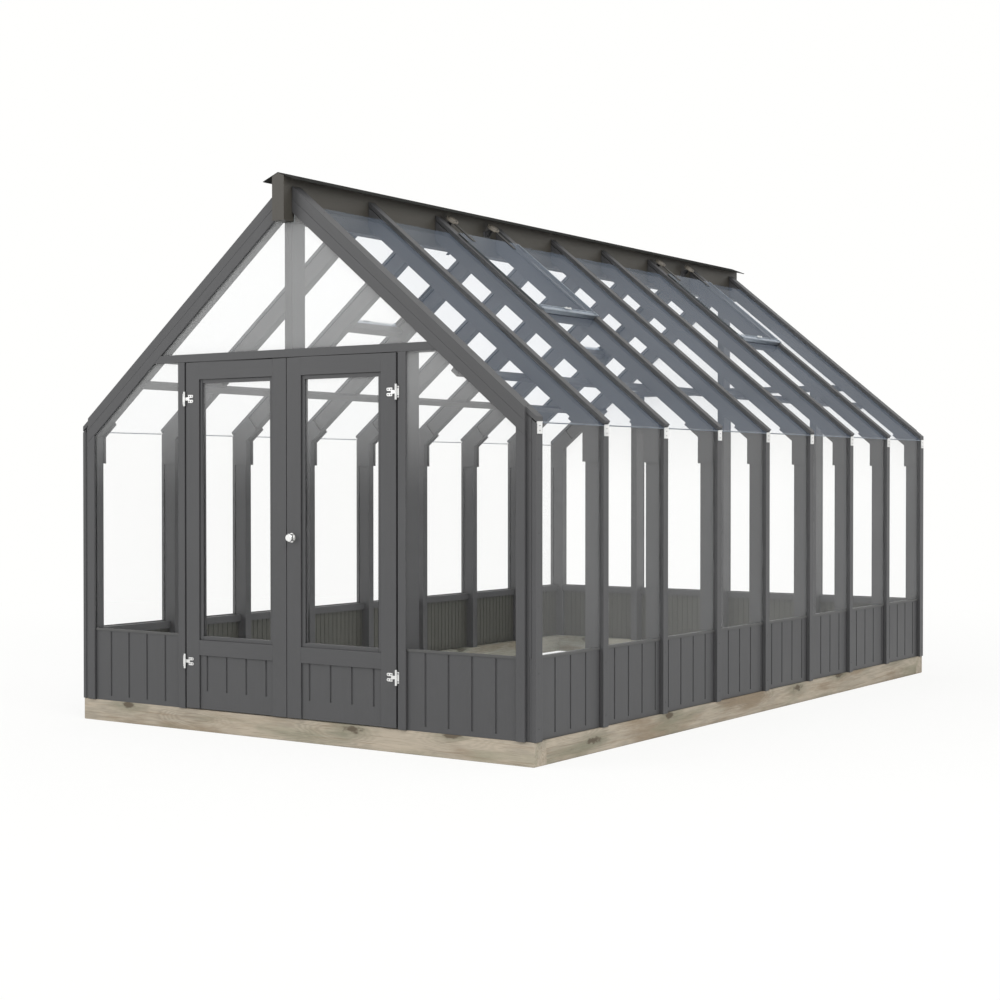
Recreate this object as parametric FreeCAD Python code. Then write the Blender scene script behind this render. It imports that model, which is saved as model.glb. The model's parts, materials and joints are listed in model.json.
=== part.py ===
"""Painted timber greenhouse on a treated timber base, with double doors and four roof vents.

Millimetres. X runs across the door gable, Y from the door gable (-Y) to the rear, Z up.
The origin is on the ground, under the middle of the base.
"""
import FreeCAD
import Part
import math
import os

os.makedirs("parts", exist_ok=True)
V = FreeCAD.Vector

# Base frame
BASE_WIDTH = 2900.0
BASE_LENGTH = 4720.0
BASE_HEIGHT = 112.0
BASE_TIMBER = 100.0

# Timber of the portal frames: nine frames with eight bays between them
FRAME_COUNT = 9
TIMBER = 48.0
POST_DEPTH = 78.0
RAFTER_DEPTH = 83.0
FRAME_INSET = 5.0
SIDE_PROUD = 7.0
ROOF_PITCH = 39.1
RAFTER_APEX = 2727.0

# Glazing and cover strips
GLASS = 4.0
PANE_GAP = 6.0
TONGUE_PLAY = 1.0
WALL_STRIP = 21.0
STRIP_HEAD_GAP = 1.0
PANE_HEAD_DROP = 7.0
ROOF_STRIP = 20.0
END_STRIP_WIDTH = 56.0
EAVE_GLASS_OVERHANG = 1.0
STRIP_END_SETBACK = 6.0
END_STRIP_DROP = 25.0
ROOF_GLASS_TOP_X = 131.0
STRIP_BEAM_GAP = 1.0

# Lower wall panels
SILL_HEIGHT = 490.0
CLADDING = 16.0
GROOVE_PITCH = 133.0
GROOVE_WIDTH = 11.0
GROOVE_DEPTH = 6.0
GROOVE_FOOT = 24.0
GROOVE_HEAD = 12.0
SIDE_GROOVE_START = 194.0
GABLE_GROOVE_START = 843.0
LINING = 9.0
LINING_PITCH = 40.0
LINING_GROOVE = 4.0
LINING_GROOVE_DEPTH = 3.0
RAIL_HEIGHT = 40.0
RAIL_DEPTH = 30.0
SILL_BEAD_HEIGHT = 12.0
SILL_BEAD_RISE = 7.0
SILL_BEAD_PROUD = 4.0

# Cover strips in front of the gable glass
BOARD = 13.0
BOARD_WIDTH = 48.0
CORNER_REVEAL = 100.0
RAFTER_REVEAL = 7.0
GLASS_LAP = 14.0

# Doorway, studs and transom
DOORWAY_HALF = 682.0
STUD_DEPTH = 98.0
JAMB_REVEAL = 8.0
JAMB_BOARD = 46.0
TRANSOM_DROP = 136.8
TRANSOM_HEIGHT = 40.0
DOOR_STOP = 12.0
DOOR_STOP_DEPTH = 20.0

# Door leaves
LEAF_THICKNESS = 40.0
LEAF_EDGE_GAP = 3.0
MEETING_GAP = 4.0
LEAF_FOOT_GAP = 5.0
LEAF_HEAD_GAP = 3.0
STILE = 90.0
TOP_RAIL = 88.0
MID_RAIL = 78.0
MID_RAIL_FOOT = 391.0
BOTTOM_RAIL = 92.0
BEAD_WIDTH = 20.0
BEAD_SETBACK = 8.0
BEAD_THICKNESS = 10.0
PANE_PLAY = 2.0
KICK_SETBACK = 8.0
KICK_GROOVES = 4

# Door hinges, knob, catch and bolts
HINGE_LOW = 357.0
HINGE_HEAD_DROP = 185.0
HINGE_TALL = 74.0
HINGE_PLATE_TALL = 54.0
HINGE_PLATE = 3.0
HINGE_KNUCKLE_R = 6.0
HINGE_PIN_R = 3.0
HINGE_JAMB_REACH = 15.0
HINGE_TAB_REACH = 58.0
HINGE_TAB_START = 24.0
HINGE_NECK = 16.0
HINGE_NECK_REACH = 32.0
HINGE_TAB_TALL = 15.0
HINGE_TAB_PITCH = 25.0
HINGE_LEAF_KNUCKLE = 46.0
PIN_CLEARANCE = 0.05
RUN_GAP = 0.4
KNOB_X = 40.0
KNOB_Z = 1004.0
KNOB_R = 20.0
KNOB_NECK_R = 9.0
KNOB_NECK = 7.0
KNOB_SHOULDER = 6.0
KNOB_RIM = 10.0
KNOB_FACE_R = 15.0
KNOB_REACH = 36.0
ROSE_R = 23.0
ROSE_THICKNESS = 7.0
INNER_ROSE = 3.0
SPINDLE_R = 5.0
SPINDLE_CLEARANCE = 0.3
CATCH_LENGTH = 62.0
CATCH_WIDTH = 18.0
CATCH_THICKNESS = 5.0
BOLT_R = 5.0
BOLT_X = 40.0
BOLT_LENGTH = 140.0
BOLT_CASE_TALL = 80.0
BOLT_CASE_EDGE = 10.0
BOLT_CASE_WIDE = 26.0
BOLT_CASE_DEEP = 16.0
BOLT_CLEARANCE = 0.3
BOLT_HOLE_DEPTH = 30.0
BOLT_SET_BACK = 2.0
BOLT_GRIP_R = 3.0
BOLT_GRIP = 22.0
BOLT_GRIP_FOOT = 12.0

# Ridge
BEAM_WIDTH = 77.0
BEAM_DROP = 172.0
RIDGE_RISE = 63.0
RIDGE_OVERHANG = 72.0
CAP_SHEET = 2.5
CAP_WING = 97.0
CAP_PITCH = 21.4

# Eaves: gusset plates, and the steel clips that stop the roof glass
GUSSET = 9.0
GUSSET_EDGE = 10.0
GUSSET_DROP = 168.0
GUSSET_LEG = 105.0
CLIP_SHEET = 3.0
CLIP_WIDE = 42.0
CLIP_DROP = 48.0
CLIP_LIP = 8.0
CLIP_SCREW_R = 2.6
CLIP_SCREW_HEAD = 2.0
CLIP_SCREW_PITCH = 22.0
CLIP_SCREW_EDGE = 14.0

# Purlins
PURLIN_FROM_WALL = 447.0
PURLIN_WIDE = 45.0
PURLIN_DEEP = 22.0

# Roof vents, in the third and the seventh bay of each slope
VENT_BAYS = (("front", FRAME_COUNT // 4), ("rear", FRAME_COUNT - 3))
VENT_SIDE_GAP = 3.0
VENT_LIFT = 0.4
VENT_EDGE_TALL = 5.0
VENT_EDGE_WIDE = 12.0
VENT_TOP_X = 178.0
VENT_FOOT_X = 712.0
VENT_BAR_WIDE = 30.0
VENT_BAR_END_GAP = 6.0
VENT_BAR_FOOT_GAP = 3.0
LOWER_PANE_LAP = 22.0
TRIMMER_WIDE = 45.0
TRIMMER_DEEP = 45.0
VENT_AXIS_X = 80.0
VENT_HINGE_FROM_FRONT = 65.375
VENT_HINGE_FROM_REAR = 121.375
VENT_KNUCKLE_R = 8.0
VENT_KNUCKLE_WIDE = 26.0
VENT_PIN_R = 3.0
VENT_STRAP = 4.0
VENT_STRAP_LAP = 70.0
VENT_DISC_R = 35.0
VENT_DISC = 10.0
VENT_DISC_RISE = 6.0
LUG = 4.0
LUG_BOSS_R = 5.5
LUG_GAP = 0.5
LUG_PLATE = 4.0
LUG_ROOT_DROP = 8.0
LUG_ROOT_TALL = 36.0
LUG_PLATE_WIDE = 60.0
STAY_LENGTH = 478.0
STAY_WIDE = 20.0
STAY_THICK = 5.0
STAY_EYE_R = 7.0
STAY_PIN_R = 3.0
STAY_DROP = 10.0
STAY_SETBACK = 16.0
STAY_FROM_RAFTER = 20.0

# Planes and pitches that follow from the sizes above
SIN = math.sin(math.radians(ROOF_PITCH))
COS = math.cos(math.radians(ROOF_PITCH))
TAN = SIN / COS
CAP_TAN = math.tan(math.radians(CAP_PITCH))
CAP_COS = math.cos(math.radians(CAP_PITCH))
END_FACE = BASE_LENGTH / 2.0 - FRAME_INSET
END_CENTRE = END_FACE - TIMBER / 2.0
BAY_PITCH = 2.0 * END_CENTRE / (FRAME_COUNT - 1)
FRAME_Y = [-END_CENTRE + BAY_PITCH * k for k in range(FRAME_COUNT)]
WALL_FACE = BASE_WIDTH / 2.0 + SIDE_PROUD
GLASS_FACE = WALL_FACE - WALL_STRIP
POST_FACE = GLASS_FACE - GLASS
CLAD_BACK = GLASS_FACE - CLADDING
POST_INNER = POST_FACE - POST_DEPTH
END_GLASS = END_FACE + GLASS
END_BOARD = END_GLASS + BOARD
END_CLAD_BACK = END_GLASS - CLADDING
STUD_BACK = END_FACE - STUD_DEPTH
CORNER_BOARD_IN = WALL_FACE - CORNER_REVEAL
PURLIN_X = WALL_FACE - PURLIN_FROM_WALL
EAVE_Z = RAFTER_APEX - WALL_FACE * TAN
WALL_STRIP_HEAD = EAVE_Z - STRIP_HEAD_GAP
WALL_GLASS_HEAD = RAFTER_APEX - GLASS_FACE * TAN - PANE_HEAD_DROP
CLIP_FOOT = EAVE_Z - CLIP_DROP
GUSSET_FOOT = EAVE_Z - GUSSET_DROP
BEAM_FOOT = RAFTER_APEX - BEAM_DROP
RIDGE_TOP = RAFTER_APEX + RIDGE_RISE
JAMB_OUT = DOORWAY_HALF + TIMBER
TRANSOM_FOOT = RAFTER_APEX - RAFTER_DEPTH / COS - JAMB_OUT * TAN - TRANSOM_DROP
TRANSOM_HEAD = TRANSOM_FOOT + TRANSOM_HEIGHT
EAVE_U = (WALL_FACE + EAVE_GLASS_OVERHANG) / COS - GLASS * TAN
STRIP_TOP_H = GLASS + ROOF_STRIP
LEAF_BACK = END_BOARD - LEAF_THICKNESS
LEAF_FOOT = BASE_HEIGHT + LEAF_FOOT_GAP
LEAF_HEAD = TRANSOM_FOOT - LEAF_HEAD_GAP
HINGE_HEIGHTS = (HINGE_LOW, LEAF_HEAD - HINGE_HEAD_DROP)
LEAF_IN = MEETING_GAP / 2.0
LEAF_OUT = DOORWAY_HALF - LEAF_EDGE_GAP
HINGE_AXIS_X = (LEAF_OUT + DOORWAY_HALF + JAMB_REVEAL) / 2.0
HINGE_AXIS_Y = -(END_BOARD + HINGE_KNUCKLE_R)
BOLT_Y = -(LEAF_BACK - BOLT_CASE_DEEP / 2.0)
VENT_GLASS_H = STRIP_TOP_H + VENT_LIFT + VENT_EDGE_TALL
VENT_TOP_H = VENT_GLASS_H + GLASS
VENT_TOP_U = (VENT_TOP_X - VENT_TOP_H * SIN) / COS
VENT_FOOT_U = (VENT_FOOT_X - VENT_TOP_H * SIN) / COS
VENT_AXIS_H = VENT_TOP_H + VENT_STRAP - VENT_KNUCKLE_R
VENT_AXIS_U = (VENT_AXIS_X - VENT_AXIS_H * SIN) / COS
LOWER_PANE_U = VENT_FOOT_U - LOWER_PANE_LAP
TRIMMER_U = LOWER_PANE_U - TRIMMER_WIDE / 2.0
STAY_U = VENT_FOOT_U - VENT_BAR_WIDE - STAY_SETBACK
STAY_H = VENT_GLASS_H - STAY_DROP


def slope(u, h):
    """Point (x, z) on the right slope: u down the rafter's top edge, h square above it."""
    return (u * COS + h * SIN, RAFTER_APEX - u * SIN + h * COS)


def roof_z(x, h=0.0):
    """Height of the plane h above the rafter tops, at x."""
    return RAFTER_APEX + h / COS - abs(x) * TAN


def slope_bar(u0, u1, h0, h1):
    """Outline of a bar lying along the slope."""
    return [slope(u0, h0), slope(u1, h0), slope(u1, h1), slope(u0, h1)]


def box(x0, x1, y0, y1, z0, z1):
    """Box between two corners."""
    return Part.makeBox(x1 - x0, y1 - y0, z1 - z0, V(x0, y0, z0))


def prism_y(points, y0, y1):
    """Polygon of (x, z) points, extruded from y0 to y1."""
    ring = [V(x, y0, z) for x, z in points]
    face = Part.Face(Part.makePolygon(ring + ring[:1]))
    return face.extrude(V(0, y1 - y0, 0))


def rod_y(x, z, radius, y0, y1):
    """Round bar along Y."""
    return Part.makeCylinder(radius, y1 - y0, V(x, y0, z), V(0, 1, 0))


def rod_z(x, y, radius, z0, z1):
    """Round bar along Z."""
    return Part.makeCylinder(radius, z1 - z0, V(x, y, z0), V(0, 0, 1))


def across(shape):
    """The same piece on the other side of the house."""
    return shape.mirror(V(0, 0, 0), V(1, 0, 0))


def to_rear(shape):
    """The same piece on the rear gable."""
    return shape.mirror(V(0, 0, 0), V(0, 1, 0))


def both_sides(shapes):
    """Pieces on the right and on the left."""
    return list(shapes) + [across(s) for s in shapes]


def both_ends(shapes):
    """Pieces on the front and on the rear gable."""
    return list(shapes) + [to_rear(s) for s in shapes]


def fuse(first, *others):
    """One clean solid from touching shapes."""
    return first.fuse(list(others)).removeSplitter()


def export(name, shapes):
    """Write one sub-part, a group of separate solids."""
    solids = [solid for shape in shapes for solid in shape.Solids]
    body = solids[0] if len(solids) == 1 else Part.makeCompound(solids)
    body.exportStep("parts/%s.step" % name)


def bays():
    """Numbers of the bays from front to rear."""
    return range(FRAME_COUNT - 1)


def pane_span(k):
    """Y range of the pane or panel in bay k."""
    return FRAME_Y[k] + PANE_GAP / 2.0, FRAME_Y[k + 1] - PANE_GAP / 2.0


def clear_span(k):
    """Y range between the timbers, and between the strips, of bay k."""
    return FRAME_Y[k] + TIMBER / 2.0, FRAME_Y[k + 1] - TIMBER / 2.0


# Frame


def base_timbers():
    """Foundation timbers; the side ones butt between the end ones. One bolt hole at the door."""
    half_w = BASE_WIDTH / 2.0
    half_l = BASE_LENGTH / 2.0
    front = box(-half_w, half_w, -half_l, -half_l + BASE_TIMBER, 0, BASE_HEIGHT)
    hole_foot = BASE_HEIGHT - BOLT_HOLE_DEPTH
    hole = rod_z(-BOLT_X, BOLT_Y, BOLT_R + BOLT_CLEARANCE, hole_foot, BASE_HEIGHT)
    inner = half_l - BASE_TIMBER
    side = box(half_w - BASE_TIMBER, half_w, -inner, inner, 0, BASE_HEIGHT)
    return [front.cut(hole), to_rear(front), side, across(side)]


def post_outline():
    """Post in the plane of its frame, cut at the head to carry the rafter."""
    return [
        (POST_INNER, BASE_HEIGHT),
        (CLAD_BACK, BASE_HEIGHT),
        (CLAD_BACK, SILL_HEIGHT),
        (POST_FACE, SILL_HEIGHT),
        (POST_FACE, roof_z(POST_FACE, -RAFTER_DEPTH)),
        (POST_INNER, roof_z(POST_INNER, -RAFTER_DEPTH)),
    ]


def rafter_outline():
    """Rafter from the post's outer face to the side of the ridge beam."""
    top = BEAM_WIDTH / 2.0
    return [
        (top, roof_z(top)),
        (POST_FACE, roof_z(POST_FACE)),
        (POST_FACE, roof_z(POST_FACE, -RAFTER_DEPTH)),
        (top, roof_z(top, -RAFTER_DEPTH)),
    ]


def in_frame(outline, y):
    """A frame timber centred at y."""
    return prism_y(outline, y - TIMBER / 2.0, y + TIMBER / 2.0)


def inner_frames(outline):
    """The same timber in every frame between the end frames."""
    return both_sides([in_frame(outline, y) for y in FRAME_Y[1:-1]])


def corner_posts():
    """Posts of the two end frames, notched for the gable cladding too."""
    post = in_frame(post_outline(), -END_CENTRE)
    notch_out = CORNER_BOARD_IN + GLASS_LAP
    notch = box(0, notch_out, -END_FACE, -END_CLAD_BACK, BASE_HEIGHT, SILL_HEIGHT)
    return both_ends(both_sides([post.cut(notch)]))


def gable_rafters():
    """Rafters of the two end frames."""
    return both_ends(both_sides([in_frame(rafter_outline(), -END_CENTRE)]))


def gusset_outline():
    """Plate over the joint of post and rafter, a little wider than the timbers on the inside."""
    inner = POST_INNER - GUSSET_EDGE
    low = -(RAFTER_DEPTH + GUSSET_EDGE)
    corner_u = (inner - low * SIN) / COS
    return [
        (POST_FACE, GUSSET_FOOT),
        (inner, GUSSET_FOOT),
        (inner, roof_z(inner, low)),
        slope(corner_u - GUSSET_LEG, low),
        slope(corner_u - GUSSET_LEG, 0),
        (POST_FACE, roof_z(POST_FACE)),
    ]


def eave_gussets():
    """Gussets on both faces of the inner frames and on the inner face of the end frames."""
    plates = []
    for k, y in enumerate(FRAME_Y):
        if k > 0:
            plates.append(prism_y(gusset_outline(), y - TIMBER / 2.0 - GUSSET, y - TIMBER / 2.0))
        if k < FRAME_COUNT - 1:
            plates.append(prism_y(gusset_outline(), y + TIMBER / 2.0, y + TIMBER / 2.0 + GUSSET))
    return both_sides(plates)


def cap_z(x, drop):
    """Height at x of a surface lying drop below the top of the ridge cap."""
    return RIDGE_TOP - drop / CAP_COS - abs(x) * CAP_TAN


def ridge_beam():
    """Deep beam that the rafters butt against, bevelled on top for the cap."""
    half = BEAM_WIDTH / 2.0
    end = BASE_LENGTH / 2.0 + RIDGE_OVERHANG
    shoulder = cap_z(half, CAP_SHEET)
    crown = cap_z(0, CAP_SHEET)
    outline = [(-half, BEAM_FOOT), (half, BEAM_FOOT), (half, shoulder), (0, crown), (-half, shoulder)]
    return [prism_y(outline, -end, end)]


def ridge_cap():
    """Bent sheet over the ridge beam."""
    end = BASE_LENGTH / 2.0 + RIDGE_OVERHANG
    outline = [
        (-CAP_WING, cap_z(CAP_WING, 0)),
        (0, RIDGE_TOP),
        (CAP_WING, cap_z(CAP_WING, 0)),
        (CAP_WING, cap_z(CAP_WING, CAP_SHEET)),
        (0, cap_z(0, CAP_SHEET)),
        (-CAP_WING, cap_z(CAP_WING, CAP_SHEET)),
    ]
    return [prism_y(outline, -end, end)]


def purlins():
    """Lengthwise battens under the rafters, one a side."""
    low = -(RAFTER_DEPTH + PURLIN_DEEP)
    u = (PURLIN_X - (low - RAFTER_DEPTH) / 2.0 * SIN) / COS
    half = PURLIN_WIDE / 2.0
    outline = slope_bar(u - half, u + half, low, -RAFTER_DEPTH)
    return both_sides([prism_y(outline, -END_FACE, END_FACE)])


def vent_trimmers():
    """Cross rails between the rafters, under the lower edge of each vent."""
    outline = slope_bar(TRIMMER_U, TRIMMER_U + TRIMMER_WIDE, -TRIMMER_DEEP, 0)
    return both_sides([prism_y(outline, *clear_span(k)) for _, k in VENT_BAYS])


# Gables


def door_jambs():
    """Door jambs, notched for the cladding, and the stops planted on them behind the leaves."""
    jamb = box(DOORWAY_HALF, JAMB_OUT, -END_FACE, -STUD_BACK, BASE_HEIGHT, TRANSOM_FOOT)
    stop_y = -LEAF_BACK + RUN_GAP
    stop_x = DOORWAY_HALF - DOOR_STOP
    stop = box(stop_x, DOORWAY_HALF, stop_y, stop_y + DOOR_STOP_DEPTH, BASE_HEIGHT, TRANSOM_FOOT)
    notch_in = DOORWAY_HALF + GLASS_LAP
    notch = box(notch_in, JAMB_OUT, -END_FACE, -END_CLAD_BACK, BASE_HEIGHT, SILL_HEIGHT)
    return both_sides([jamb.cut(notch), stop])


def rear_stud(x0, head):
    """Stud of the rear gable, notched for the cladding."""
    stud = box(x0, x0 + TIMBER, STUD_BACK, END_FACE, BASE_HEIGHT, head)
    notch = box(x0, x0 + TIMBER, END_CLAD_BACK, END_FACE, BASE_HEIGHT, SILL_HEIGHT)
    return stud.cut(notch)


def rear_studs():
    """Two studs of the rear gable, in line with the door jambs."""
    return both_sides([rear_stud(DOORWAY_HALF, TRANSOM_FOOT)])


def king_posts():
    """Posts under the ridge beam: on the transom in front, on the base at the rear."""
    half = TIMBER / 2.0
    front = box(-half, half, -END_FACE, -STUD_BACK, TRANSOM_HEAD, BEAM_FOOT)
    return [front, rear_stud(-half, BEAM_FOOT)]


def transom_reach():
    """Half length of a transom: its head meets the underside of the end rafters."""
    return (roof_z(0, -RAFTER_DEPTH) - TRANSOM_HEAD) / TAN


def gable_transoms():
    """Timber over the doorway, drilled for the door bolt, and the two on the rear gable."""
    reach = transom_reach()
    front = box(-reach, reach, -END_FACE, -STUD_BACK, TRANSOM_FOOT, TRANSOM_HEAD)
    hole_head = TRANSOM_FOOT + BOLT_HOLE_DEPTH
    hole = rod_z(-BOLT_X, BOLT_Y, BOLT_R + BOLT_CLEARANCE, TRANSOM_FOOT, hole_head)
    rear = box(TIMBER / 2.0, reach, STUD_BACK, END_FACE, TRANSOM_FOOT, TRANSOM_HEAD)
    return [front.cut(hole)] + both_sides([rear])


def barge_z(x, up=0.0):
    """Height at x of the line up above the lower edge of the rafter strips, square to the slope."""
    return roof_z(x, RAFTER_REVEAL - RAFTER_DEPTH + up)


def board(face, tongue):
    """Cover strip on a gable: its face over the glass, and a tongue down to the timber."""
    return fuse(prism_y(face, -END_BOARD, -END_GLASS), prism_y(tongue, -END_GLASS, -END_FACE))


def upright(x0, x1, foot, head0, head1):
    """Outline of an upright strip, with its head at head0 on the x0 side."""
    return [(x0, foot), (x1, foot), (x1, head1), (x0, head0)]


def corner_boards():
    """Strips on the corner posts, over the outer edge of the gable glass."""
    x0 = CORNER_BOARD_IN
    x1 = CORNER_BOARD_IN + BOARD_WIDTH
    lap = x0 + GLASS_LAP
    face = upright(x0, x1, BASE_HEIGHT, barge_z(x0), barge_z(x1))
    tongue = upright(lap, x1, BASE_HEIGHT, barge_z(lap), barge_z(x1))
    return both_ends(both_sides([board(face, tongue)]))


def rafter_boards():
    """Boards up the gable rafters, from the upper edge of the gable glass to the flanges of the roof strips."""
    x0 = BEAM_WIDTH / 2.0
    x1 = CORNER_BOARD_IN + BOARD_WIDTH
    face = [(x0, barge_z(x0)), (x1, barge_z(x1)), (x1, roof_z(x1, -END_STRIP_DROP)), (x0, roof_z(x0, -END_STRIP_DROP))]
    top = [(x1, roof_z(x1, GLASS)), (x0, roof_z(x0, GLASS))]
    tongue = [(x0, barge_z(x0, GLASS_LAP)), (x1, barge_z(x1, GLASS_LAP))] + top
    return both_ends(both_sides([board(face, tongue)]))


def transom_board():
    """Strip on a transom, from rafter strip to rafter strip."""
    foot = (barge_z(0) - TRANSOM_FOOT) / TAN
    head = (barge_z(0) - TRANSOM_HEAD) / TAN
    face = [(-foot, TRANSOM_FOOT), (foot, TRANSOM_FOOT), (head, TRANSOM_HEAD), (-head, TRANSOM_HEAD)]
    low = TRANSOM_FOOT + GLASS_LAP
    high = TRANSOM_HEAD - GLASS_LAP
    reach = transom_reach()
    return board(face, [(-reach, low), (reach, low), (reach, high), (-reach, high)])


def stud_board(x0, x1):
    """Strip on a rear stud, with glass under both its edges."""
    face = upright(x0, x1, BASE_HEIGHT, TRANSOM_FOOT, TRANSOM_FOOT)
    return board(face, upright(x0 + GLASS_LAP, x1 - GLASS_LAP, BASE_HEIGHT, TRANSOM_FOOT, TRANSOM_FOOT))


def gable_boards():
    """Strips on the door jambs, the rear studs, the rear king post and the transoms."""
    x0 = DOORWAY_HALF + JAMB_REVEAL
    x1 = x0 + JAMB_BOARD
    lap = DOORWAY_HALF + GLASS_LAP
    face = upright(x0, x1, BASE_HEIGHT, TRANSOM_FOOT, TRANSOM_FOOT)
    jamb = board(face, upright(x0, lap, BASE_HEIGHT, TRANSOM_FOOT, TRANSOM_FOOT))
    half = TIMBER / 2.0
    rear = both_sides([stud_board(DOORWAY_HALF, JAMB_OUT)])
    rear += [stud_board(-half, half), transom_board()]
    return both_sides([jamb]) + [transom_board()] + [to_rear(b) for b in rear]


def glass_edge(x):
    """Height at x of the upper edge of the gable glass, under the rafter strips."""
    return barge_z(x, GLASS_LAP - PANE_GAP / 2.0)


def gable_pane(x0, x1, head):
    """Pane of a gable from the sill up, its head cut to the transom and the rafter."""
    bend = (glass_edge(0) - head) / TAN
    outline = [(x0, SILL_HEIGHT), (x1, SILL_HEIGHT), (x1, glass_edge(x1)), (bend, head), (x0, head)]
    return prism_y(outline, -END_GLASS, -END_FACE)


def gable_glass():
    """Panes of both gables; the rear one has middle panes where the front one has doors."""
    play = PANE_GAP / 2.0
    out = CORNER_BOARD_IN + GLASS_LAP - play
    head = TRANSOM_FOOT + GLASS_LAP - play
    side = gable_pane(DOORWAY_HALF + GLASS_LAP + play, out, head)
    foot = TRANSOM_HEAD - GLASS_LAP + play
    end = (glass_edge(0) - foot) / TAN
    half = BEAM_WIDTH / 2.0 + play
    notch = BEAM_FOOT - play
    peak = [(end, foot), (half, glass_edge(half)), (half, notch), (-half, notch)]
    peak += [(-half, glass_edge(half)), (-end, foot)]
    top = prism_y(peak, -END_GLASS, -END_FACE)
    rear_side = gable_pane(JAMB_OUT - GLASS_LAP + play, out, head)
    x0 = TIMBER / 2.0 - GLASS_LAP + play
    x1 = DOORWAY_HALF + GLASS_LAP - play
    middle = box(x0, x1, -END_GLASS, -END_FACE, SILL_HEIGHT, head)
    rear = both_sides([rear_side, middle]) + [top]
    return both_sides([side]) + [top] + [to_rear(p) for p in rear]


# Lower walls


def wall_cladding():
    """Grooved panels of the side walls; the grooves run on at one pitch past the posts."""
    panels = []
    foot = BASE_HEIGHT + GROOVE_FOOT
    head = SILL_HEIGHT - GROOVE_HEAD
    for k in bays():
        y0, y1 = pane_span(k)
        panel = box(CLAD_BACK, GLASS_FACE, y0, y1, BASE_HEIGHT, SILL_HEIGHT)
        y = SIDE_GROOVE_START - BASE_LENGTH / 2.0
        while y < y1:
            if y - GROOVE_WIDTH > y0 and y + GROOVE_WIDTH < y1:
                w = GROOVE_WIDTH / 2.0
                panel = panel.cut(box(GLASS_FACE - GROOVE_DEPTH, GLASS_FACE, y - w, y + w, foot, head))
            y += GROOVE_PITCH
        panels.append(panel)
    return both_sides(panels)


def gable_panel(x0, x1, start):
    """Grooved panel of a gable wall, on the front one."""
    foot = BASE_HEIGHT + GROOVE_FOOT
    head = SILL_HEIGHT - GROOVE_HEAD
    panel = box(x0, x1, -END_GLASS, -END_CLAD_BACK, BASE_HEIGHT, SILL_HEIGHT)
    w = GROOVE_WIDTH / 2.0
    x = start
    while x < x1:
        if x - GROOVE_WIDTH > x0 and x + GROOVE_WIDTH < x1:
            panel = panel.cut(box(x - w, x + w, -END_GLASS, -END_GLASS + GROOVE_DEPTH, foot, head))
        x += GROOVE_PITCH
    return panel


def gable_cladding():
    """Panels beside the doors, and across the rear gable."""
    play = PANE_GAP / 2.0
    out = CORNER_BOARD_IN + GLASS_LAP - play
    front = gable_panel(DOORWAY_HALF + GLASS_LAP + play, out, GABLE_GROOVE_START)
    rear_side = gable_panel(JAMB_OUT - GLASS_LAP + play, out, GABLE_GROOVE_START)
    x0 = TIMBER / 2.0 - GLASS_LAP + play
    middle = gable_panel(x0, DOORWAY_HALF + GLASS_LAP - play, GROOVE_PITCH)
    return both_sides([front]) + [to_rear(p) for p in both_sides([rear_side, middle])]


def gable_spans():
    """X ranges between the uprights of the front and the rear gable, on the right."""
    side = (JAMB_OUT, POST_INNER)
    return [side], [side, (TIMBER / 2.0, DOORWAY_HALF)]


def gable_bars(depth, foot, head):
    """Pieces behind the gable cladding, between the uprights."""
    front, rear = gable_spans()
    y0 = -END_CLAD_BACK
    ahead = [box(x0, x1, y0, y0 + depth, foot, head) for x0, x1 in front]
    behind = [to_rear(box(x0, x1, y0, y0 + depth, foot, head)) for x0, x1 in rear]
    return both_sides(ahead + behind)


def wall_rails():
    """Rails behind the head of the cladding, between the posts and the studs."""
    foot = SILL_HEIGHT - RAIL_HEIGHT
    rails = []
    for k in bays():
        y0, y1 = clear_span(k)
        rails.append(box(CLAD_BACK - RAIL_DEPTH, CLAD_BACK, y0, y1, foot, SILL_HEIGHT))
    return both_sides(rails) + gable_bars(RAIL_DEPTH, foot, SILL_HEIGHT)


def lined(panel, along_y, start, end, face):
    """Lining panel with narrow upright grooves in its inner face."""
    cuts = []
    foot = BASE_HEIGHT
    head = SILL_HEIGHT - RAIL_HEIGHT
    w = LINING_GROOVE / 2.0
    d = LINING_GROOVE_DEPTH
    at = start + LINING_PITCH
    while at < end - LINING_GROOVE:
        if along_y:
            cuts.append(box(face, face + d, at - w, at + w, foot, head))
        else:
            cuts.append(box(at - w, at + w, face - d, face, foot, head))
        at += LINING_PITCH
    return panel.cut(cuts)


def wall_linings():
    """Boarded lining behind the cladding, from the base to the rail."""
    head = SILL_HEIGHT - RAIL_HEIGHT
    panels = []
    for k in bays():
        y0, y1 = clear_span(k)
        panel = box(CLAD_BACK - LINING, CLAD_BACK, y0, y1, BASE_HEIGHT, head)
        panels.append(lined(panel, True, y0, y1, CLAD_BACK - LINING))
    front, rear = gable_spans()
    face = -END_CLAD_BACK + LINING
    ends = []
    for x0, x1 in front + rear:
        panel = box(x0, x1, -END_CLAD_BACK, face, BASE_HEIGHT, head)
        ends.append(lined(panel, False, x0, x1, face))
    ends = ends[:len(front)] + [to_rear(p) for p in ends[len(front):]]
    return both_sides(panels + ends)


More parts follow.
